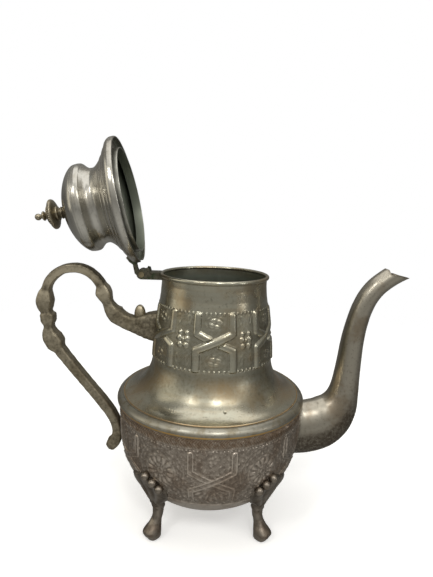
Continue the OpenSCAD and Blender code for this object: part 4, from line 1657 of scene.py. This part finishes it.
@dataclass
class LidShell:
    """The domed lid with its waisted side, turned rings and rolled brim."""

    brim_r: float = 41.0
    dome_h: float = 41.8
    wall: float = 0.9
    notch_half: float = 6.1
    notch_top: float = 4.05
    columns: int = 540
    rings: Sequence[Tuple[float, float, float]] = (
        (6.3, 0.6, -0.24), (7.6, 0.9, 0.28), (9.1, 0.5, -0.20), (10.6, 0.9, 0.28), (12.1, 0.5, -0.18),
        (25.5, 0.9, 0.22), (29.9, 0.5, -0.14), (40.6, 0.35, -0.12))

    def side(self) -> np.ndarray:
        """The outer line from the brim's edge to the middle of the dome.

        Returns:
            Radius and height in the lid's own frame.
        """
        return np.concatenate([
            bezier((self.brim_r - 0.9, 0.0), (self.brim_r - 0.05, -0.1), (self.brim_r + 0.05, 0.8),
                   (self.brim_r - 0.02, 1.8), 14),
            bezier((self.brim_r - 0.05, 2.2), (41.05, 3.6), (40.2, 5.0), (39.2, 5.6), 16),
            bezier((38, 6.3), (36.6, 6.8), (35.6, 7.6), (34, 8.6), 14),
            bezier((32.6, 9.4), (28.2, 12.8), (24.6, 16), (24.4, 18.8), 26),
            bezier((24.6, 21), (25.6, 23.6), (28.4, 24.6), (28.5, 27.4), 24),
            bezier((28.3, 30.2), (26, 35.4), (16.8, 40.2), (8, self.dome_h), 34),
            [[1.7, self.dome_h]]])

    def build(self) -> bpy.types.Object:
        """Make the lid's shell in its own frame.

        Returns:
            The shell, notched for the hinge arm.
        """
        outer = even(self.side(), 0.36)
        rise = swelling(outer[:, 1], self.rings)
        chased = beside(outer, rise[:, None])
        inner = even(beside(self.side(), -self.wall), 1.2)
        inner = inner[(inner[:, 1] > 1.2) & (inner[:, 0] > 1.9)][::-1]
        tail = bezier((inner[-1][0], 1.0), (39.9, 0.5), (39.9, 0.1), (40.3, 0.0), 5)
        profile = np.concatenate([chased, inner, tail])
        grid, angle = turned(profile, self.columns)
        r, h = profile[:, 0:1], profile[:, 1:2]
        y = -r * np.cos(np.radians(angle))[None, :]
        x = r * np.sin(np.radians(angle))[None, :]
        in_notch = (np.abs(y) < self.notch_half) & (x < -30.0) & (h < self.notch_top)
        grid[:, :, 2] = np.where(in_notch, self.notch_top, grid[:, :, 2])
        line = self.side()
        lifted = np.interp(self.notch_top, line[2:60, 1], line[2:60, 0])
        pulled = np.where(r > 40.4, (lifted - 0.02 * (self.notch_top - h)) / r, 1.0)
        shrink = np.where(in_notch, pulled, 1.0)
        grid[:, :, 0] *= shrink
        grid[:, :, 1] *= shrink
        n = len(chased)
        grime = np.zeros(grid.shape[:2])
        # painted shade in the sunk rings, and a darker patch low on the side next to the hinge
        near_pin = np.clip((-x - 31.0) / 9.0, 0, 1) * np.clip((13.0 - h) / 9.0, 0, 1)
        grime[:n] = np.maximum(np.clip(-rise[:, None] * 1.5, 0, 0.5), 0.55 * near_pin[:n])
        # the underside takes the darker inner colour: unpolished metal and painted shade under the dome
        lining = np.zeros(grid.shape[:2])
        lining[n:n + len(inner)] = 1.0
        lining[n + len(inner):] = 0.4
        sheet = Sheet.from_grid(grid, loop_rows=True, paint={"grime": grime, "lining": lining})
        return sheet.piece("lid_dome", 50.0)


@dataclass
class LidCollar:
    """The collar that drops into the mouth, with its flange under the brim."""

    radius: float = 33.8
    drop: float = 1.6
    seat: float = 3.85
    flange_r: float = 40.15
    columns: int = 288

    def build(self) -> bpy.types.Object:
        """Make the collar.

        Returns:
            The piece, in the lid's own frame.
        """
        lip = bezier((self.radius, -self.drop + 0.5), (self.radius, -self.drop), (33.0, -self.drop),
                     (33.0, -self.drop + 0.5), 8)
        profile = np.concatenate([
            [[self.flange_r, self.seat + 0.75], [self.flange_r, self.seat]],
            bezier((self.radius + 0.6, self.seat), (self.radius + 0.15, self.seat),
                   (self.radius, self.seat - 0.2), (self.radius, self.seat - 0.7), 6),
            lip, [[33.0, self.seat + 0.75]]])[::-1]
        grid, _ = turned(profile, self.columns)
        z = grid[:, :, 2]
        # painted shade on the seat under the brim, darkest on the flange's outer ring, in the brim's shadow
        grime = np.where(z > self.seat - 1.0, 0.35, 0.0)
        grime = np.where((z > self.seat - 0.5) & (np.hypot(grid[:, :, 0], grid[:, :, 1]) > 39.0), 0.9, grime)
        r = np.hypot(grid[:, :, 0], grid[:, :, 1])
        # the collar's inner face takes the full inner colour, the rest a little: unpolished metal and painted
        # shade
        lining = np.where(r < 33.3, 1.0, 0.35)
        sheet = Sheet.from_grid(grid, loop_rows=True, paint={"grime": grime, "lining": lining})
        return sheet.piece("lid_seat_collar", 40.0)


@dataclass
class Finial:
    """The turned finial: foot, milled knob and beaded tip, on the lid's axis."""

    base: float = 41.8
    knob_foot: float = 48.6
    knob_r: float = 9.7
    knob_top: float = 56.4
    columns: int = 160

    def foot(self) -> bpy.types.Object:
        """Make the foot: a flange and a stem with two turned rings.

        Returns:
            The piece, in the lid's own frame.
        """
        side = np.concatenate([
            [[1.5, self.base]], bezier((5.9, self.base), (6.5, self.base), (6.6, 42.5), (6.0, 42.9), 8),
            bezier((5.4, 43.1), (4.4, 43.5), (3.5, 44.0), (3.35, 44.6), 8),
            bezier((3.4, 44.8), (4.2, 44.9), (4.2, 45.7), (3.4, 45.8), 8),
            bezier((3.3, 46.2), (3.4, 47.0), (4.0, 47.2), (4.8, 47.6), 8),
            [[4.9, 48.1], [4.8, self.knob_foot], [1.5, self.knob_foot]]])
        grid, _ = turned(side, self.columns)
        r = np.hypot(grid[:, :, 0], grid[:, :, 1])
        # painted shade in the stem's narrow waists
        grime = np.clip(1 - np.abs(r - 3.4) / 0.5, 0, 1) * 0.8
        return Sheet.from_grid(grid, loop_rows=True, paint={"grime": grime}).piece("finial_stem", 50.0)

    def knob(self) -> bpy.types.Object:
        """Make the knob, milled round its edge.

        Returns:
            The piece, in the lid's own frame.
        """
        f = self.knob_foot
        side = np.concatenate([
            [[1.5, f], [4.8, f]], bezier((5.6, f + 0.1), (7.9, f + 0.5), (self.knob_r - 0.2, f + 1.2),
                                         (self.knob_r + 0.1, f + 2.0), 12),
            even(np.array([[self.knob_r + 0.15, f + 2.2], [self.knob_r + 0.1, f + 3.1]]), 0.15),
            bezier((9.3, f + 3.5), (8.4, f + 3.7), (7.2, f + 4.3), (6.4, f + 5.0), 10),
            bezier((6.5, f + 5.2), (5.6, f + 6.0), (3.0, f + 6.4), (1.9, self.knob_top), 12),
            [[1.5, self.knob_top]]])
        grid, angle = turned(side, self.columns * 3)
        edge = np.clip(1 - np.abs(side[:, 1:2] - f - 2.65) / 0.75, 0, 1)
        teeth = np.cos(np.radians(angle) * 44)[None, :]
        grow = 1 + edge * (0.28 * teeth - 0.28) / side[:, 0:1]
        grid[:, :, 0] *= grow
        grid[:, :, 1] *= grow
        # painted shade in the grooves between the milled teeth
        grime = edge * np.clip(-teeth, 0, 1) * 0.9
        sheet = Sheet.from_grid(grid, loop_rows=True, paint={"grime": grime})
        return sheet.piece("finial_milled_knob", 50.0)

    def tip(self) -> bpy.types.Object:
        """Make the tip: a disc, a waist and a ball.

        Returns:
            The piece, in the lid's own frame.
        """
        t = self.knob_top
        turn = np.radians(np.linspace(-50.0, 86.0, 16))
        ball = np.stack([2.2 * np.cos(turn), t + 5.0 + 2.2 * np.sin(turn)], axis=1)
        side = np.concatenate([
            [[0.05, t], [1.9, t]], bezier((2.2, t + 0.3), (3.2, t + 0.5), (3.4, t + 1.2), (2.9, t + 1.7), 8),
            bezier((2.3, t + 2.1), (1.5, t + 2.4), (1.4, t + 2.9), (1.5, t + 3.2), 6), ball])
        grid, _ = turned(side, self.columns // 2)
        return Sheet.from_grid(grid).closed(self.columns // 2).piece("finial_beaded_tip", 50.0)


# ---- fittings carried over from the frame ---------------------------------------------------


@dataclass(frozen=True)
class Fitting:
    """A small part that keeps its shape from the frame and gets a finish and broken edges."""

    node: str
    finish: MetalFinish
    edge: float = 0.0

    def dress(self, shop: Paintshop) -> bpy.types.Object:
        """Put on the finish and round the edges over.

        Args:
            shop: the paintshop.

        Returns:
            The part.
        """
        part = frame["nodes"][self.node]
        shop.dress(part, self.finish)
        if self.edge > 0:
            soften = part.modifiers.new("broken_edges", "BEVEL")
            soften.width = self.edge * MM
            soften.segments = 3
            soften.limit_method = "ANGLE"
            soften.angle_limit = math.radians(40.0)
            soften.harden_normals = False
        return part


FITTINGS = (
    Fitting("hinge_arm", HINGE_METAL, 0.22),
    Fitting("hinge_pin", OLD_BRASS, 0.15),
    Fitting("lid_leaf", HINGE_METAL),
    Fitting("spout_strainer", OLD_BRASS),
    Fitting("finial_stud", OLD_BRASS),
    Fitting("finial_washer", OLD_BRASS),
    Fitting("finial_nut", OLD_BRASS, 0.1),
)


# ---- studio --------------------------------------------------------------------------------


@dataclass(frozen=True)
class Softbox:
    """One soft light."""

    name: str
    place: Tuple[float, float, float]
    aim: Tuple[float, float, float]
    size: Tuple[float, float]
    power: float
    colour: Colour = (1.0, 0.985, 0.96)

    def hang(self) -> None:
        """Hang the light."""
        lamp = bpy.data.lights.new(self.name, "AREA")
        lamp.shape = "RECTANGLE"
        lamp.size, lamp.size_y = self.size
        lamp.energy = self.power
        lamp.color = self.colour
        piece = bpy.data.objects.new(self.name, lamp)
        piece.location = self.place
        way = Vector(self.aim) - Vector(self.place)
        piece.rotation_mode = "QUATERNION"
        piece.rotation_quaternion = way.to_track_quat("-Z", "Y")
        bpy.context.scene.collection.objects.link(piece)


@dataclass(frozen=True)
class Studio:
    """A pale floor, soft lights and a close, slightly raised camera."""

    turn: float = -1.63
    pitch: float = 10.38
    roll: float = 1.98
    distance: float = 295.9
    height: float = 217.18
    shift: float = 1.6
    focal: float = 27.454
    lights: Tuple[Softbox, ...] = (
        Softbox("left_window", (-0.57, -0.76, 0.99), (0.0, 0.0, 0.11), (0.16, 0.22), 2.2),
        Softbox("front_window", (0.17, -0.93, 1.02), (0.0, 0.0, 0.11), (0.18, 0.24), 2.8),
        Softbox("right_window", (0.60, -0.74, 0.97), (0.0, 0.0, 0.11), (0.08, 0.12), 0.8),
        Softbox("side_window", (1.05, -0.62, 0.45), (0.0, 0.0, 0.15), (0.08, 0.50), 1.0),
        Softbox("overhead", (0.0, 0.1, 1.3), (0.0, 0.0, 0.1), (1.3, 1.3), 6.0),
        Softbox("left_fill", (-1.25, -0.25, 0.55), (0.0, 0.0, 0.12), (0.8, 1.2), 2.4, (1.0, 0.93, 0.78)),
    )

    sky: Table = ((0.0, 0.52), (0.30, 0.33), (0.50, 0.20), (0.62, 0.38), (0.80, 0.50), (1.0, 0.52))
    front_glow: float = 1.5
    rear_glow: float = 0.62
    floor_reach: float = 2.4
    floor_glow: float = 0.42

    def camera(self) -> None:
        """Set up the camera."""
        a, p, r = (math.radians(v) for v in (self.turn, self.pitch, self.roll))
        back = Vector((math.sin(a), -math.cos(a), 0.0))
        right = Vector((math.cos(a), math.sin(a), 0.0))
        up = Vector((0.0, 0.0, 1.0))
        ahead = -back * math.cos(p) - up * math.sin(p)
        over = -back * math.sin(p) + up * math.cos(p)
        side = right * math.cos(r) + over * math.sin(r)
        top = -right * math.sin(r) + over * math.cos(r)
        place = (back * self.distance + right * self.shift) * MM + up * self.height * MM
        camera = bpy.data.cameras.new("camera")
        camera.lens = self.focal
        camera.sensor_width = 36.0
        camera.sensor_fit = "AUTO"
        camera.clip_start = 0.01
        seat = bpy.data.objects.new("camera", camera)
        bpy.context.scene.collection.objects.link(seat)
        axes = Matrix((side, top, -ahead)).transposed().to_4x4()
        seat.matrix_world = Matrix.Translation(place) @ axes
        bpy.context.scene.camera = seat

    def room(self) -> None:
        """Set the light that comes from all round, and a plain pale backdrop."""
        world = bpy.data.worlds.new("room")
        bpy.context.scene.world = world
        world.use_nodes = True
        tree = world.node_tree
        tree.nodes.clear()
        where = tree.nodes.new("ShaderNodeTexCoord")
        parts = tree.nodes.new("ShaderNodeSeparateXYZ")
        tree.links.new(where.outputs["Generated"], parts.inputs[0])
        ramp = tree.nodes.new("ShaderNodeValToRGB")
        while len(ramp.color_ramp.elements) < len(self.sky):
            ramp.color_ramp.elements.new(0.5)
        for element, (at, value) in zip(ramp.color_ramp.elements, self.sky):
            element.position = at
            element.color = (value, value * 0.985, value * 0.93, 1.0)
        level = tree.nodes.new("ShaderNodeMapRange")
        level.inputs["From Min"].default_value = -1.0
        tree.links.new(parts.outputs["Z"], level.inputs["Value"])
        tree.links.new(level.outputs["Result"], ramp.inputs["Fac"])
        glow = tree.nodes.new("ShaderNodeBackground")
        tree.links.new(ramp.outputs["Color"], glow.inputs["Color"])
        ahead = tree.nodes.new("ShaderNodeMapRange")
        ahead.interpolation_type = "SMOOTHSTEP"
        for socket, number in zip(range_inputs(ahead), (-1.0, 0.1, self.front_glow, self.rear_glow)):
            socket.default_value = number
        tree.links.new(parts.outputs["Y"], ahead.inputs["Value"])
        tree.links.new(ahead.outputs["Result"], glow.inputs["Strength"])
        backdrop = tree.nodes.new("ShaderNodeBackground")
        backdrop.inputs["Color"].default_value = (1.0, 1.0, 1.0, 1.0)
        seen = tree.nodes.new("ShaderNodeLightPath")
        mix = tree.nodes.new("ShaderNodeMixShader")
        tree.links.new(seen.outputs["Is Camera Ray"], mix.inputs[0])
        tree.links.new(glow.outputs[0], mix.inputs[1])
        tree.links.new(backdrop.outputs[0], mix.inputs[2])
        out = tree.nodes.new("ShaderNodeOutputWorld")
        tree.links.new(mix.outputs[0], out.inputs["Surface"])

    def floor(self) -> None:
        """Lay a round pale floor that fades into the backdrop."""
        rings = np.concatenate([[0.001], np.linspace(0.1, self.floor_reach, 24)]) / MM
        grid, _ = turned(np.stack([rings, np.full(len(rings), -0.15)], axis=1), 96)
        piece = Sheet.from_grid(grid).piece("floor")
        n = Nodes("pale_floor")
        where = n.position((1.0, 1.0, 0.0))
        reach = n.add("ShaderNodeVectorMath", operation="LENGTH")
        n.link(where, reach.inputs[0])
        fade = n.range(reach.outputs["Value"], 0.22, 0.75)
        paint = n.add("ShaderNodeBsdfPrincipled")
        paint.inputs["Base Color"].default_value = (0.93, 0.93, 0.925, 1.0)
        paint.inputs["Roughness"].default_value = 1.0
        paint.inputs["Specular IOR Level"].default_value = 0.0
        paint.inputs["Emission Color"].default_value = (1.0, 1.0, 0.995, 1.0)
        paint.inputs["Emission Strength"].default_value = self.floor_glow
        clear = n.add("ShaderNodeBsdfTransparent")
        mix = n.add("ShaderNodeMixShader")
        n.link(fade, mix.inputs[0])
        n.link(paint.outputs[0], mix.inputs[1])
        n.link(clear.outputs[0], mix.inputs[2])
        out = n.add("ShaderNodeOutputMaterial")
        n.link(mix.outputs[0], out.inputs["Surface"])
        piece.data.materials.append(n.material)
        piece.visible_glossy = False

    def build(self) -> None:
        """Set up everything round the pot."""
        self.camera()
        self.room()
        self.floor()
        for light in self.lights:
            light.hang()
        bpy.context.scene.view_settings.view_transform = "Standard"


# ---- assembly ------------------------------------------------------------------------------


@dataclass
class Pot:
    """The whole pot, built body by body."""

    shop: Paintshop
    bowl: Bowl = field(default_factory=Bowl)
    neck: Neck = field(default_factory=Neck)
    band: WaistBand = field(default_factory=WaistBand)
    spout: Spout = field(default_factory=Spout)
    handle: Handle = field(default_factory=Handle)
    feet: Sequence[Tuple[str, float, int]] = (
        ("foot_front_left", -135.0, 1), ("foot_front_right", -45.0, -1),
        ("foot_rear_left", 135.0, -1), ("foot_rear_right", 45.0, 1))

    def fixed(self, piece: bpy.types.Object, finish: MetalFinish, *nodes: str) -> None:
        """Dress a piece of the body, fasten it and let it stand for its nodes.

        Args:
            piece: the new piece.
            finish: its finish.
            nodes: the frame's nodes it stands for.
        """
        self.shop.dress(piece, finish)
        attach(piece, "pot")
        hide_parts(*nodes)
        LOG.info("%s: %d points, stands for %s", piece.name, len(piece.data.vertices), ", ".join(nodes))

    def build(self) -> None:
        """Build every fixed piece."""
        self.fixed(self.bowl.build(), BOWL_METAL, "bowl")
        self.fixed(self.neck.build(), NECK_METAL, "upper_body")
        self.fixed(self.band.build(), BAND_METAL, "waist_band")
        self.fixed(self.spout.build(self.bowl), SPOUT_METAL, "spout")
        self.fixed(self.handle.build(self.bowl, self.neck), CAST_METAL, "handle")
        for node, turn, hand in self.feet:
            foot = Foot(turn, node.replace("foot", "cast_foot"), hand)
            self.fixed(foot.build(self.bowl), FOOT_METAL, node)


@dataclass
class Lid:
    """The lid and its finial."""

    shop: Paintshop
    place: LidPlace = LidPlace()
    shell: LidShell = field(default_factory=LidShell)
    collar: LidCollar = field(default_factory=LidCollar)
    finial: Finial = field(default_factory=Finial)

    def build(self) -> None:
        """Build every piece that swings."""
        parts = (
            (self.shell.build(), LID_METAL, "lid_shell"),
            (self.collar.build(), LID_METAL, "lid_collar"),
            (self.finial.foot(), FINIAL_METAL, "finial_foot"),
            (self.finial.knob(), FINIAL_METAL, "finial_knob"),
            (self.finial.tip(), FINIAL_METAL, "finial_tip"),
        )
        for piece, finish, node in parts:
            self.place.put(piece, self.shop, finish)
            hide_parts(node)
            LOG.info("%s: %d points, stands for %s", piece.name, len(piece.data.vertices), node)


def main() -> None:
    """Build the pot, its lid and the studio."""
    logging.basicConfig(level=logging.INFO, format="%(name)s: %(message)s")
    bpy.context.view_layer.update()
    Studio().build()
    shop = Paintshop()
    Pot(shop).build()
    Lid(shop).build()
    for fitting in FITTINGS:
        LOG.info("%s keeps its shape", fitting.dress(shop).name)


if __name__ == "__main__":
    main()
